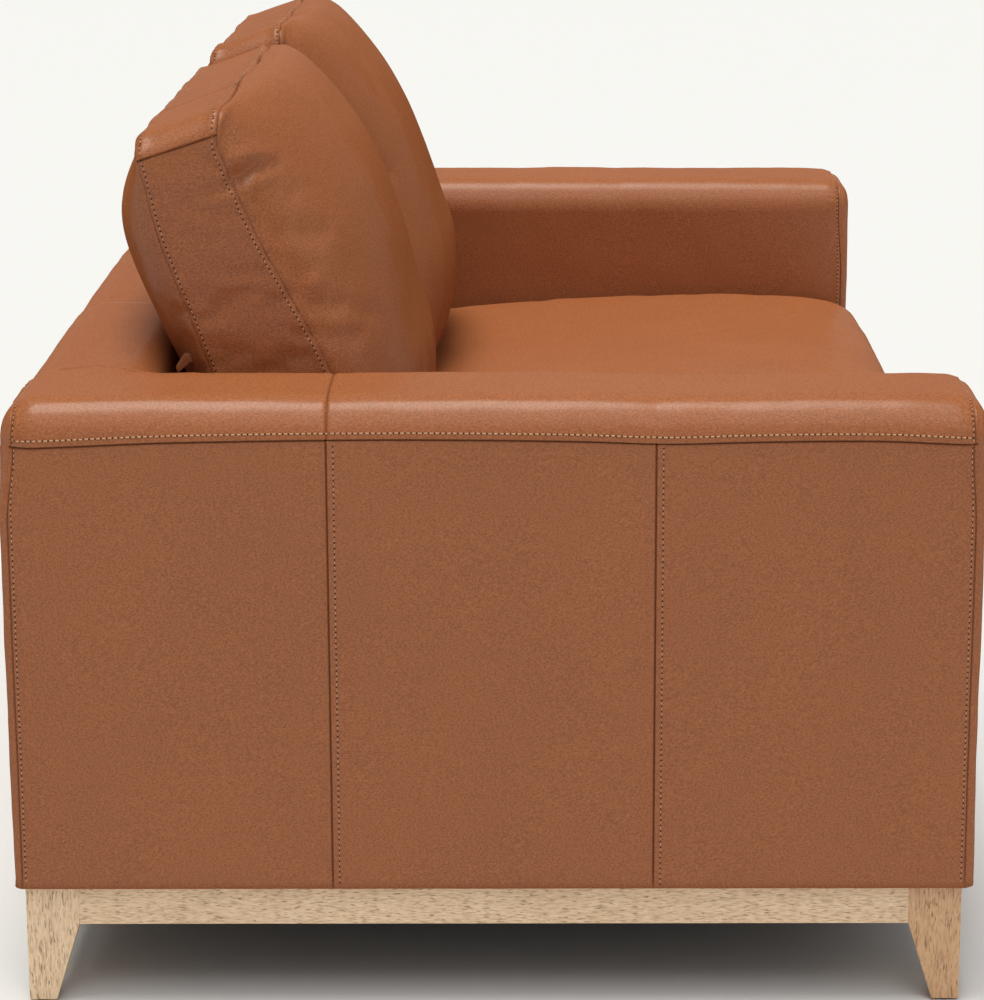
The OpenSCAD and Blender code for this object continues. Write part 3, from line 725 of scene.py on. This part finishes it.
def spline(points):
    """A smooth line through given points, as a function of 0 to 1 along its length."""
    points = np.asarray(points, float)
    padded = np.concatenate([[2 * points[0] - points[1]], points, [2 * points[-1] - points[-2]]])
    fine = []
    for i in range(1, len(padded) - 2):
        a, b, c, d = padded[i - 1:i + 3]
        t = np.linspace(0, 1, 24, endpoint=False)[:, None]
        fine.append(0.5 * (2 * b + (c - a) * t + (2 * a - 5 * b + 4 * c - d) * t ** 2
                           + (3 * b - a - 3 * c + d) * t ** 3))
    fine = np.concatenate(fine + [points[-1:]])
    run = length_along(fine)
    run /= run[-1]
    return lambda t: read_path(fine, run, t)


def round_corners(a, b, radius_a, radius_b):
    """Pulls the corner zones of a grid over -1 to 1 by 0 to 1 onto quarter ellipses."""
    edge_a = np.maximum(np.abs(a) - (1 - radius_a), 0) / radius_a
    low = np.maximum(radius_b - b, 0) / radius_b
    high = np.maximum(b - (1 - radius_b), 0) / radius_b
    edge_b = np.maximum(low, high)
    longest = np.maximum(edge_a, edge_b)
    shrink = np.where(longest > 0, longest / np.maximum(np.hypot(edge_a, edge_b), 1e-9), 1.0)
    a = np.where(edge_a > 0, np.sign(a) * (1 - radius_a + edge_a * shrink * radius_a), a)
    b = np.where(low > 0, radius_b * (1 - low * shrink), b)
    b = np.where(high > 0, 1 - radius_b + high * shrink * radius_b, b)
    return a, b


def weights(marks, count):
    """Rows of cubic weights that read a line of count points at fractional marks."""
    table = np.zeros((len(marks), count + 2))
    whole = np.clip(np.floor(marks).astype(int), 0, count - 2)
    t = marks - whole
    rows = np.arange(len(marks))
    for step, value in enumerate(((-t + 2 * t ** 2 - t ** 3) / 2, (2 - 5 * t ** 2 + 3 * t ** 3) / 2,
                                  (t + 4 * t ** 2 - 3 * t ** 3) / 2, (-t ** 2 + t ** 3) / 2)):
        table[rows, whole + step] += value
    inner = table[:, 1:-1]
    inner[:, 0] += 2 * table[:, 0]
    inner[:, 1] -= table[:, 0]
    inner[:, -1] += 2 * table[:, -1]
    inner[:, -2] -= table[:, -1]
    return inner


def read_grid(grid, rows, columns):
    """A grid of points read at fractional rows and columns."""
    return np.einsum("ai,bk,ikc->abc", weights(rows, grid.shape[0]), weights(columns, grid.shape[1]), grid)


class Cushion:
    """A boxed cushion: a front and a rear panel on a lattice, sewn to a boxing strip around them."""

    def __init__(self, across, along, layers):
        self.size = (across, along, layers)
        number = across * along
        self.front = np.arange(number).reshape(across, along)
        self.rear = self.front + number
        edge = self.border(self.front)
        rings = [edge]
        for layer in range(1, layers):
            rings.append(2 * number + (layer - 1) * len(edge) + np.arange(len(edge)))
        rings.append(self.border(self.rear))
        self.rings = np.stack(rings)
        boxing = grid_quads(closed(self.rings))
        self.quads = np.concatenate([grid_quads(self.front), grid_quads(self.rear, True), boxing])
        self.seams = np.unique(np.concatenate([edge, self.border(self.rear)]))

    @staticmethod
    def border(grid):
        """The outline of a grid of point numbers, once around."""
        return np.concatenate([grid[:, 0], grid[-1, 1:], grid[-2::-1, -1], grid[0, -2:0:-1]])

    def sides(self):
        """The four sides of the boxing as grids of point numbers: along the side, front to rear."""
        across, along, _ = self.size
        rings = closed(self.rings).T
        stops = np.cumsum([0, across - 1, along - 1, across - 1, along - 1])
        parts = [rings[stops[i]:stops[i + 1] + 1] for i in range(4)]
        return {"bottom": parts[0], "right": parts[1], "top": parts[2][::-1], "left": parts[3][::-1]}


CLOTH = {"quality": 6, "mass": 0.25, "air_damping": 2.0, "tension_stiffness": 18,
         "compression_stiffness": 9, "shear_stiffness": 6, "bending_stiffness": 0.6,
         "tension_damping": 8, "compression_damping": 8, "use_pressure": True,
         "uniform_pressure_force": 3.0, "shrink_min": -0.02, "vertex_group_mass": "held",
         "pin_stiffness": 2.0}
CLOTH_FRAMES = 18
CLOTH_CAP = 0.014


def inflate(name, points, quads, pinned):
    """Cloth simulation of a closed shell under pressure. No point moves further than the cap."""
    mesh = bpy.data.meshes.new(name)
    mesh.from_pydata(points.tolist(), [], quads.tolist())
    piece = bpy.data.objects.new(name, mesh)
    scene = bpy.context.scene
    scene.collection.objects.link(piece)
    group = piece.vertex_groups.new(name="held")
    for numbers, weight in pinned:
        group.add([int(n) for n in numbers], weight, "REPLACE")
    modifier = piece.modifiers.new("Cloth", "CLOTH")
    for label, value in CLOTH.items():
        setattr(modifier.settings, label, value)
    modifier.settings.effector_weights.gravity = 0
    modifier.collision_settings.use_collision = False
    for number in range(1, CLOTH_FRAMES + 1):
        scene.frame_set(number)
    done = piece.evaluated_get(bpy.context.evaluated_depsgraph_get()).to_mesh()
    moved = np.empty(len(points) * 3)
    done.vertices.foreach_get("co", moved)
    scene.frame_set(1)
    bpy.data.objects.remove(piece)
    step = moved.reshape(-1, 3) - points
    length = np.linalg.norm(step, axis=1, keepdims=True)
    return points + step * np.minimum(1, CLOTH_CAP / np.maximum(length, 1e-9))


LONG_WAVES_KEPT = 0.15
WAVE_ROUNDS = 30


def share_short_waves(points, blown, quads):
    """A simulated shell's movement with only a share of its long waves, so that the cut shape stays."""
    move = blown - points
    edges = np.concatenate([quads[:, [i, (i + 1) % 4]] for i in range(4)])
    count = np.bincount(edges.reshape(-1), minlength=len(points))[:, None]
    slow = move.copy()
    for _ in range(WAVE_ROUNDS):
        total = np.zeros_like(slow)
        np.add.at(total, edges[:, 0], slow[edges[:, 1]])
        np.add.at(total, edges[:, 1], slow[edges[:, 0]])
        slow = 0.5 * slow + 0.5 * total / count
    return move - (1 - LONG_WAVES_KEPT) * slow


BACK_FRONT_SEAM = ((0.100, 0.443), (0.164, 0.609), (0.199, 0.679), (0.230, 0.737), (0.254, 0.791),
                   (0.267, 0.823), (0.275, 0.846), (0.277, 0.869))
BACK_REAR_SEAM = ((0.238, 0.443), (0.286, 0.609), (0.333, 0.737), (0.352, 0.815), (0.357, 0.842))
BACK_FRONT_CROWN = ((0.119, 0.443), (0.093, 0.456), (0.076, 0.490), (0.069, 0.540), (0.072, 0.590),
                    (0.088, 0.650), (0.107, 0.713), (0.127, 0.766), (0.154, 0.818), (0.187, 0.861),
                    (0.215, 0.887), (0.238, 0.894), (0.260, 0.883))
BACK_REAR_CROWN = ((0.222, 0.443), (0.264, 0.470), (0.308, 0.545), (0.350, 0.620), (0.385, 0.695),
                   (0.398, 0.752), (0.379, 0.804), (0.347, 0.850))
SEAT_TOP_SEAM = ((0.318, 0.397), (0.200, 0.428), (0.059, 0.442), (-0.090, 0.454), (-0.270, 0.460),
                 (-0.380, 0.457), (-0.440, 0.450), (-0.474, 0.437), (-0.490, 0.412), (-0.496, 0.380),
                 (-0.494, 0.330), (-0.487, 0.290), (-0.478, 0.276))
SEAT_TOP_CROWN = ((0.322, 0.400), (0.200, 0.434), (0.059, 0.450), (-0.090, 0.462), (-0.270, 0.469),
                  (-0.380, 0.468), (-0.442, 0.461), (-0.475, 0.446), (-0.493, 0.420), (-0.501, 0.385),
                  (-0.499, 0.335), (-0.490, 0.290), (-0.480, 0.274))
SEAT_BASE = ((0.318, 0.278), (0.200, 0.268), (-0.270, 0.268), (-0.440, 0.268), (-0.470, 0.271))
SHOULDER = 0.024
# How far the top corner of one back cushion stands up and forward beside the other cushion
INNER_TIP = (0.0, -0.014, 0.021)


def shoulder_drop(line, t, a, half):
    """Turns the two side edges of a panel down in a quarter round."""
    ahead = unit(line(np.clip(t + 0.004, 0, 1)) - line(np.clip(t - 0.004, 0, 1)))
    out = np.stack([ahead[..., 1], -ahead[..., 0]], -1)
    over = np.clip((np.abs(a) * half - (half - SHOULDER)) / SHOULDER, 0, 1)
    drop = SHOULDER * (1 - np.sqrt(1 - over * over))
    return -out * drop[..., None]


def cushion_points(cushion, x_low, x_high, panels, corner, swell_power, puff, shoulder):
    """Places of a cushion's lattice. Panels gives (side line, crown line) of the front and rear panel."""
    across, along, layers = cushion.size
    points = np.zeros((cushion.rings.max() + 1, 3))
    a, t = np.meshgrid(np.linspace(-1, 1, across), np.linspace(0, 1, along), indexing="ij")
    a, t = round_corners(a, t, corner[0], corner[1])
    half = (x_high - x_low) / 2
    for grid, (side_line, crown_line) in ((cushion.front, panels[0]), (cushion.rear, panels[1])):
        swell = ((1 - np.abs(a) ** 2.3) ** swell_power)[..., None]
        yz = side_line(t) * (1 - swell) + crown_line(t) * swell
        if shoulder and grid is cushion.front:
            yz = yz + shoulder_drop(side_line, t, a, half)
        points[grid, 0] = (x_low + x_high) / 2 + a * half
        points[grid, 1] = yz[..., 0]
        points[grid, 2] = yz[..., 1]
    first, last = points[cushion.rings[0]], points[cushion.rings[-1]]
    ahead = np.roll(first, -1, 0) - np.roll(first, 1, 0)
    out = unit(np.cross(ahead, last - first))
    for layer in range(1, layers):
        share = layer / layers
        points[cushion.rings[layer]] = (first * (1 - share) + last * share
                                        + out * puff(out)[:, None] * 4 * share * (1 - share))
    return points


# A cushion's lattice: points across, along and through it, and the gaps between them
BACK_LATTICE = (53, 43, 10)
SEAT_LATTICE = (53, 75, 10)
GAP_ACROSS = 0.012
GAP_ALONG = 0.011
# How much of the width and of the length each corner's round takes
BACK_CORNER = (0.105, 0.072)
SEAT_CORNER = (0.04, 0.02)


def back_shell(x_low, x_high, side):
    """Lattice and places of the back cushion at +X. The two differ a little in fullness."""
    cushion = Cushion(*BACK_LATTICE)
    crown = np.array(BACK_FRONT_CROWN)
    if side > 0:
        crown[:, 0] -= 0.007 * hill(crown[:, 1] - 0.58, 0.10)
        crown[:, 0] += 0.003 * smooth((crown[:, 1] - 0.74) / 0.06)
    else:
        crown[:, 0] += 0.004 * hill(crown[:, 1] - 0.62, 0.06)
    panels = ((spline(BACK_FRONT_SEAM), spline(crown)), (spline(BACK_REAR_SEAM), spline(BACK_REAR_CROWN)))
    points = cushion_points(cushion, x_low, x_high, panels, BACK_CORNER, 0.62,
                            lambda out: 0.007 * smooth(out[:, 2]), False)
    if side > 0:
        inner = smooth(1 - (points[:, 0] - x_low) / 0.20) * smooth((points[:, 2] - 0.68) / 0.17)
        points += inner[:, None] * np.array(INNER_TIP)
    return cushion, points


def seat_shell(x_low, x_high):
    """Lattice and places of the seat cushion at +X."""
    cushion = Cushion(*SEAT_LATTICE)
    panels = ((spline(SEAT_TOP_SEAM), spline(SEAT_TOP_CROWN)), (spline(SEAT_BASE), spline(SEAT_BASE)))
    points = cushion_points(cushion, x_low, x_high, panels, SEAT_CORNER, 0.5,
                            lambda out: 0.0005 + 0 * out[:, 2], True)
    return cushion, points


def make_cushion(name, body, side, kind):
    """One loose cushion: lattice, inflation, sewn seams, stitches."""
    low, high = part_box(f"{kind}_cover_left")
    span = (low.x + 0.0005, high.x - 0.0005)
    cushion, points = back_shell(*span, side) if kind == "back" else seat_shell(*span)
    if side < 0:
        points[:, 0] *= -1
    quads = cushion.quads if (side > 0) == (kind == "back") else cushion.quads[:, ::-1]
    floor = points[:, 2] < points[:, 2].min() + 0.02
    pinned = [(cushion.seams, 0.35), (np.nonzero(floor)[0], 0.9)]
    blown = inflate(name + "_cloth", points, quads, pinned)
    share = (0.6 - 0.42 * smooth((points[:, 2:] - 0.78) / 0.06)) if kind == "back" else 0.15
    points = points + share * share_short_waves(points, blown, quads)
    seed = {"seat": 100, "back": 200}[kind] + (0 if side > 0 else 37)
    finish_cushion(name, body, side, kind, cushion, points, seed)


# Distances of the grid lines beside a cushion's edge, in millimetres
EDGE_LINES = (0, 0.5, 1.0, 1.6, 2.3, 3.2, 4.4, 6.0, 8.0, 10.5, 13.5)


def panel_marks(count, spacing, extra=()):
    """Fractional grid lines over count points: fine near both ends and near the places in extra."""
    last = count - 1
    near = np.array(EDGE_LINES) * 0.001 / spacing
    marks = np.concatenate([near, last - near, np.arange(near[-1] + 0.4, last - near[-1] - 0.2, 0.5)])
    for place in extra:
        close = np.array(SEAM_LINES[:9]) * 0.001 / spacing
        marks = marks[np.abs(marks - place) > 0.0075 / spacing]
        marks = np.concatenate([marks, place - close, place + close])
    return np.unique(np.round(np.clip(marks, 0, last), 5))


def run_along(grid, axis):
    """Length along each line of a grid, from its start, and the whole length of each line."""
    step = np.linalg.norm(np.diff(grid, axis=axis), axis=2)
    pad = [(0, 0), (0, 0)]
    pad[axis] = (1, 0)
    run = np.cumsum(np.pad(step, pad), axis=axis)
    return run, np.take(run, [-1], axis=axis)


def ripple(run, size, seed):
    """Uneven waves of about the given length along a seam, from -1 to 1."""
    rng = np.random.default_rng(seed)
    total = np.zeros_like(run)
    for _ in range(5):
        total += np.sin(2 * math.pi * run / (size * rng.uniform(0.65, 1.7)) + rng.uniform(0, 6.28))
    return total / 3


def gathers(distance, run, size, seed, height, reach):
    """Small folds that start at a seam and die away from it."""
    return swell(distance, height, 0.0025) * np.exp(-distance / reach) * ripple(run, size, seed)


# Height of a back cushion's top seam at its lowest, and the Y between its front and its rear
TOP_SEAM_Z = 0.835
CUSHION_MID_Y = 0.312
TOP_SEAM_WAVE = 0.0042
CUSHION_STITCH_GAP = 0.0055
T_SEAM = 0.0185
CROSS_SEAM = 0.145
# Folds by a back cushion's top corner on the arm side: height, width, then places along the fold
FOLDS = ((-0.0070, 0.0062, (0.627, 0.257, 0.803), (0.600, 0.246, 0.808), (0.575, 0.230, 0.806)),
         (-0.0046, 0.0064, (0.627, 0.257, 0.802), (0.627, 0.272, 0.793), (0.627, 0.287, 0.788)),
         (0.0042, 0.0062, (0.622, 0.260, 0.823), (0.600, 0.248, 0.822), (0.578, 0.228, 0.816)),
         (-0.0036, 0.0042, (0.627, 0.270, 0.814), (0.627, 0.289, 0.829)),
         (0.0034, 0.0050, (0.614, 0.244, 0.796), (0.585, 0.225, 0.801)),
         (0.0024, 0.0052, (0.627, 0.262, 0.786), (0.627, 0.285, 0.779)),
         (-0.0026, 0.0070, (0.627, 0.303, 0.779), (0.627, 0.282, 0.771), (0.627, 0.258, 0.771)),
         (-0.0018, 0.0085, (0.580, 0.211, 0.776), (0.556, 0.197, 0.783)),
         (-0.0014, 0.0070, (0.627, 0.316, 0.748), (0.627, 0.280, 0.744), (0.627, 0.245, 0.752)))


def fold_relief(place, side):
    """Explicit folds near the top corner of a back cushion, on the arm side, laid on its surface."""
    total = np.zeros(len(place))
    for height, width, *marks in FOLDS:
        line = dense(np.array(marks) * (side, 1, 1), 0.0015)
        close = np.nonzero(np.linalg.norm(place - line.mean(0), axis=1) < 0.07)[0]
        near = place[close]
        line = near[((near[:, None] - line) ** 2).sum(2).argmin(0)]
        apart = np.linalg.norm(near[:, None] - line, axis=2)
        share = apart.argmin(1) / len(line)
        total[close] += height * hill(apart.min(1), width) * (1 - 0.5 * share)
    return np.clip(total, -0.0065, 0.0050)


def panel_part(grid, seed, kind):
    """Seam distance, relief and seam shade of a panel."""
    down, height = run_along(grid, 1)
    over, width = run_along(grid, 0)
    sides = np.minimum(over, width - over)
    edge = np.minimum(np.minimum(down, height - down), sides)
    x = grid[..., 0]
    if kind == "back":
        relief = gathers(height - down, x, 0.11, seed, 0.0012, 0.026)
        relief += gathers(sides, down, 0.034, seed + 1, 0.0011, 0.020)
        relief += gathers(down, x, 0.030, seed + 2, 0.0010, 0.020)
    else:
        relief = gathers(sides, down, 0.05, seed + 1, 0.0003, 0.02)
    return edge, relief, np.zeros_like(edge)


def boxing_part(grid, label, seed, kind, t_row):
    """Seam distance, relief and seam shade of one side of the boxing. Its T seam is at one row."""
    run, length = run_along(grid, 0)
    depth, total = run_along(grid, 1)
    edge = np.minimum(depth, total - depth)
    size = 0.09 if label == "top" else 0.026
    relief = gathers(edge, run if label in ("left", "right") else grid[..., 0], size, seed, 0.0007, 0.012)
    relief *= smooth(np.minimum(run, length - run) / 0.03)
    shade = np.zeros_like(edge)
    if kind == "back" and label in ("left", "right"):
        past = run[t_row] - run
        relief += lap(-past, 0.0019) * smooth((length - run) / 0.012)
        shade += 0.55 * hill(past - 0.0010, 0.0008)
    if kind == "back" and label == "top":
        apart = length - run - CROSS_SEAM
        relief += groove(apart, 0.0012)
        shade += 0.7 * hill(apart, 0.0010)
    return edge, relief, shade


def faces_inward(grid, middle):
    """Whether most of a grid's faces look towards a point inside."""
    face = np.cross(grid[1:, :-1] - grid[:-1, :-1], grid[1:, 1:] - grid[:-1, :-1])
    return (face * (grid[:-1, :-1] - middle)).sum() < 0


def fine_parts(cushion, points, kind, seed):
    """A cushion's panels and boxing sides, read at finer lines from its lattice."""
    across, along, layers = cushion.size
    extra_rows = []
    extra_columns = []
    if kind == "back":
        side_run, length = run_along(points[cushion.sides()["right"]][:, :1], 0)
        extra_rows.append(np.interp(length[0, 0] - T_SEAM, side_run[:, 0], np.arange(along)))
        extra_columns.append(across - 1 - CROSS_SEAM / GAP_ACROSS)
    columns = panel_marks(across, GAP_ACROSS, extra_columns)
    rows = panel_marks(along, GAP_ALONG, extra_rows)
    depth = panel_marks(layers + 1, GAP_ALONG)
    t_row = np.argmin(np.abs(rows - extra_rows[0])) if extra_rows else 0
    panels = []
    for numbers, shift in ((cushion.front, 0), (cushion.rear, 7)):
        fine = read_grid(points[numbers], columns, rows)
        panels.append((fine, panel_part(fine, seed + shift, kind)))
    boxing = []
    for label, numbers in cushion.sides().items():
        fine = read_grid(points[numbers], columns if label in ("bottom", "top") else rows, depth)
        boxing.append((fine, boxing_part(fine, label, seed + 11, kind, t_row)))
    return panels, boxing


def finish_cushion(name, body, side, kind, cushion, points, seed):
    """Turns the simulated lattice into the piece: sinks its seams, adds creases and stitches."""
    panels, boxing = fine_parts(cushion, points, kind, seed)
    place, quad, facts = weld(panels + boxing, points.mean(0))
    edge, relief, shade = facts.T
    normal = mesh_normals(place, quad)
    strong = 1.0
    if kind == "back":
        high = smooth((place[:, 2] - TOP_SEAM_Z) / 0.03) * np.exp(-edge / 0.020)
        front = place[:, 1] < CUSHION_MID_Y
        wave = np.where(front, ripple(place[:, 0], 0.21, seed + 3), 0.7 * ripple(place[:, 0], 0.17, seed + 4))
        place = place + (high * wave * TOP_SEAM_WAVE)[:, None] * np.array([0, 0.9, -0.2])
        relief = relief + fold_relief(place, side)
        strong = 0.50 + 0.50 * smooth((place[:, 2] - TOP_SEAM_Z - 0.010) / 0.02)
    rise = strong * groove(edge, 0.0026, 0.0015) + 0.0009 * hill(edge - 0.0075, 0.005) + relief
    rise += 0.0006 * lumps(place, 0.10, seed) + 0.0002 * lumps(place, 0.03, seed + 1)
    shade = shade + strong * hill(edge, 0.0009)
    # crease share near seams: drives the crease bump and the creases' painted shade and highlight
    wrinkle = (0.60 if kind == "back" else 0.20) * np.exp(-edge / 0.040)
    wrinkle *= 1 - 0.6 * smooth((place[:, 2] - TOP_SEAM_Z - 0.005) / 0.02)
    stuffed = place + normal * rise[:, None]
    piece = add_mesh(name, stuffed, quad, LEATHER_CUSHION, shade, body, wrinkle=wrinkle)
    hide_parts(*[f"{kind}_{part}_{SIDES[side]}" for part in ("cover", "core", "zip")])
    tree = tree_of(piece)
    stitches = Stitches()
    for fine, _ in boxing:
        for start, other in ((0, -1), (-1, 0)):
            line = fine[:, start]
            stitches.on_mesh(tree, line + unit(fine[:, other] - line) * CUSHION_STITCH_GAP, hole=0.0010)
    stitches.make(name + "_stitches", body)


# Outline of a tab from the side, as Y and Z, then its rings: shares of the outline and of its half thickness
TAB_OUTLINE = ((0.297, 0.6225), (0.3136, 0.6240), (0.3230, 0.6090), (0.3210, 0.6020), (0.3070, 0.6140),
               (0.297, 0.6135))
TAB_RINGS = ((0.001, -1.0), (0.70, -1.0), (0.93, -0.7), (1.0, 0.0), (0.93, 0.7), (0.70, 1.0), (0.001, 1.0))
TAB_X = 0.6005
TAB_HALF = 0.0019


def pull_tab(name, body, side):
    """A short flat leather tab sewn into a back cushion's rear corner, on the arm side."""
    line = dense([(0, *place) for place in (*TAB_OUTLINE, TAB_OUTLINE[0])], 0.0008)[:-1]
    for _ in range(4):
        line = (np.roll(line, 1, 0) + 2 * line + np.roll(line, -1, 0)) / 4
    middle = line.mean(0)
    rings = []
    for size, rise in TAB_RINGS:
        rings.append(middle + (line - middle) * size + (side * (TAB_X + TAB_HALF * rise), 0, 0))
    index = np.arange(len(rings) * len(line)).reshape(len(rings), -1)
    quads = grid_quads(closed(index), side < 0)
    add_mesh(name, np.concatenate(rings), quads, LEATHER_CUSHION, np.zeros(index.size), body)


WELD_REACH = 0.00002


def weld(parts, middle):
    """Joins the grids of a cushion's parts where their points lie in one place, all facing outward."""
    points, quads, facts = [], [], []
    base = 0
    for grid, values in parts:
        index = base + np.arange(grid.shape[0] * grid.shape[1]).reshape(grid.shape[:2])
        points.append(grid.reshape(-1, 3))
        facts.append(np.stack([v.reshape(-1) for v in values], 1))
        quads.append(grid_quads(index, faces_inward(grid, middle)))
        base += index.size
    points, quads, facts = np.concatenate(points), np.concatenate(quads), np.concatenate(facts)
    key = np.round(points / WELD_REACH).astype(np.int64)
    _, first, inverse = np.unique(key, axis=0, return_index=True, return_inverse=True)
    quads = inverse.reshape(-1)[quads]
    whole = (quads != np.roll(quads, 1, 1)).all(1)
    return points[first], quads[whole], facts[first]


# ---- CAD pieces that stay ----

def dress(node, material, bevel=0.0):
    """Gives a CAD piece a material, and rounds its edges."""
    piece = NODES[node]
    piece.data.materials.clear()
    piece.data.materials.append(material)
    if bevel:
        edge = piece.modifiers.new("edge", "BEVEL")
        edge.width = bevel
        edge.segments = 3
        edge.limit_method = "ANGLE"
        edge.angle_limit = math.radians(25)


HIDDEN_LOOKS = (("frame_rail", PINE), ("seat_rail", PINE), ("seat_bearer", PINE), ("arm_posts", PINE),
                ("arm_top_board", PINE), ("back_top_rail", PINE), ("back_uprights", PINE),
                ("base_bearer", PINE), ("base_braces", PINE), ("base_dowels", PINE),
                ("arm_panels", HARDBOARD), ("back_panel", HARDBOARD), ("seat_webbing", WEBBING),
                ("back_webbing", WEBBING), ("dust_cover", DARK_CLOTH), ("deck_cloth", DARK_CLOTH),
                ("foot_glides", PLASTIC), ("base_screws", STEEL))


def dress_cad():
    """Materials of the CAD pieces that stay: the oak base, and what is inside or underneath."""
    for corner in ("front_left", "front_right", "rear_left", "rear_right"):
        dress(f"leg_{corner}", OAK_WARM if "front" in corner else OAK[2], 0.0016)
    for which, axis in (("front", 0), ("rear", 0), ("left", 1), ("right", 1)):
        dress(f"base_rail_{which}", OAK[axis], 0.0012)
    for start, material in HIDDEN_LOOKS:
        for node in NODES:
            if node.startswith(start):
                dress(node, material)


# ---- Stage, light and camera ----

# Lamps far away: direction they stand in, apparent size in degrees, strength, colour
LAMPS = {"key_rear": ((-0.30, 0.54, 0.84), 9.0, 0.10, (1.0, 0.94, 0.86)),
         "overhead": ((0.02, 0.12, 0.99), 32.0, 2.70, (1.0, 0.98, 0.89)),
         "near_top": ((-0.50, -0.10, 0.86), 34.0, 0.58, (1.0, 0.96, 0.92)),
         "near_side": ((-0.86, 0.0, 0.50), 60.0, 0.33, (1.0, 0.95, 0.91)),
         "front": ((0.0, -0.87, 0.50), 50.0, 0.34, (1.0, 0.97, 0.92))}
SKY_LOW = 0.20
SKY_HIGH = 0.04
SKY_FAR = 0.22
SKY_ENDS = -0.12


def lamp(name, stands, size, strength, colour):
    """A lamp far away, as a sun light."""
    light = bpy.data.lights.new(name, "SUN")
    light.angle = math.radians(size)
    light.energy = strength
    light.color = colour
    piece = bpy.data.objects.new(name, light)
    piece.rotation_euler = (-Vector(stands)).to_track_quat("-Z", "Y").to_euler()
    piece.location = Vector(stands) * 4
    bpy.context.scene.collection.objects.link(piece)


def sky():
    """Even low light: more of it from above and from a pale wall on the +X side, less from both ends."""
    world = bpy.data.worlds.new("studio")
    bpy.context.scene.world = world
    world.use_nodes = True
    tree = world.node_tree
    way = add_node(tree, "TexCoord", {}, "Generated")
    height, across, along = (add_node(tree, "SeparateXYZ", {0: way}, axis) for axis in "ZXY")
    ends = add_node(tree, "Math", {0: along}, operation="ABSOLUTE")
    total = SKY_LOW
    for source, start, stop, high in ((height, 0.15, 0.95, SKY_HIGH), (across, 0.55, 0.95, SKY_FAR),
                                      (ends, 0.35, 0.95, SKY_ENDS)):
        reach = {"Value": source, "From Min": start, "From Max": stop, "To Max": high}
        rise = add_node(tree, "MapRange", reach, "Result", interpolation_type="SMOOTHSTEP")
        total = add_node(tree, "Math", {0: rise, 1: total})
    background = tree.nodes["Background"]
    put(tree, (1, 1, 1, 1), background.inputs["Color"])
    put(tree, total, background.inputs["Strength"])


FLOOR_REACH = 40.0


def studio():
    """Light, and a plain pale floor."""
    scene = bpy.context.scene
    scene.view_settings.view_transform = "Standard"
    scene.view_settings.look = "None"
    sky()
    for name, facts in LAMPS.items():
        lamp(name, *facts)
    floor = bpy.data.meshes.new("floor")
    corners = [(x * FLOOR_REACH, y * FLOOR_REACH, 0) for x, y in ((-1, -1), (1, -1), (1, 1), (-1, 1))]
    floor.from_pydata(corners, [], [(0, 1, 2, 3)])
    piece = bpy.data.objects.new("floor", floor)
    scene.collection.objects.link(piece)
    sh = Shader("floor_paper", Roughness=0.9, Specular_IOR_Level=0.1)
    sh.set("Base Color", (0.70, 0.71, 0.73, 1))
    floor.materials.append(sh.material)


CAMERA_PLACE = (-3.778, -0.045, 1.266)
CAMERA_PITCH = 14.07
CAMERA_YAW = -0.18
CAMERA_LENS = 115.14
CAMERA_SHIFT = -0.0566


def camera():
    """A level camera at the sofa's side, looking a little down."""
    data = bpy.data.cameras.new("view")
    data.sensor_width = 36.0
    data.lens = CAMERA_LENS
    data.shift_x = CAMERA_SHIFT
    cam = bpy.data.objects.new("view", data)
    cam.location = CAMERA_PLACE
    pitch, yaw = math.radians(CAMERA_PITCH), math.radians(CAMERA_YAW)
    way = Vector((math.cos(pitch) * math.cos(yaw), math.cos(pitch) * math.sin(yaw), -math.sin(pitch)))
    cam.rotation_euler = way.to_track_quat("-Z", "Y").to_euler()
    bpy.context.scene.collection.objects.link(cam)
    bpy.context.scene.camera = cam


camera()
studio()
dress_cad()
body_stitches = Stitches()
band_stitches = Stitches()
for side, name in SIDES.items():
    arm_stitches(body_stitches, band_stitches, arm(side, f"arm_{name}"))
back_rail("back_rail")
back_panel("back_outer_panel")
front_border("front_border")
body_stitches.make("body_stitches", "frame")
band_stitches.make("band_stitches", "frame", THREAD_HIGHLIT)
for side, name in SIDES.items():
    make_cushion(f"seat_{name}", f"seat_{name}_cushion", side, "seat")
    make_cushion(f"back_{name}", f"back_{name}_cushion", side, "back")
    pull_tab(f"back_{name}_tab", f"back_{name}_cushion", side)
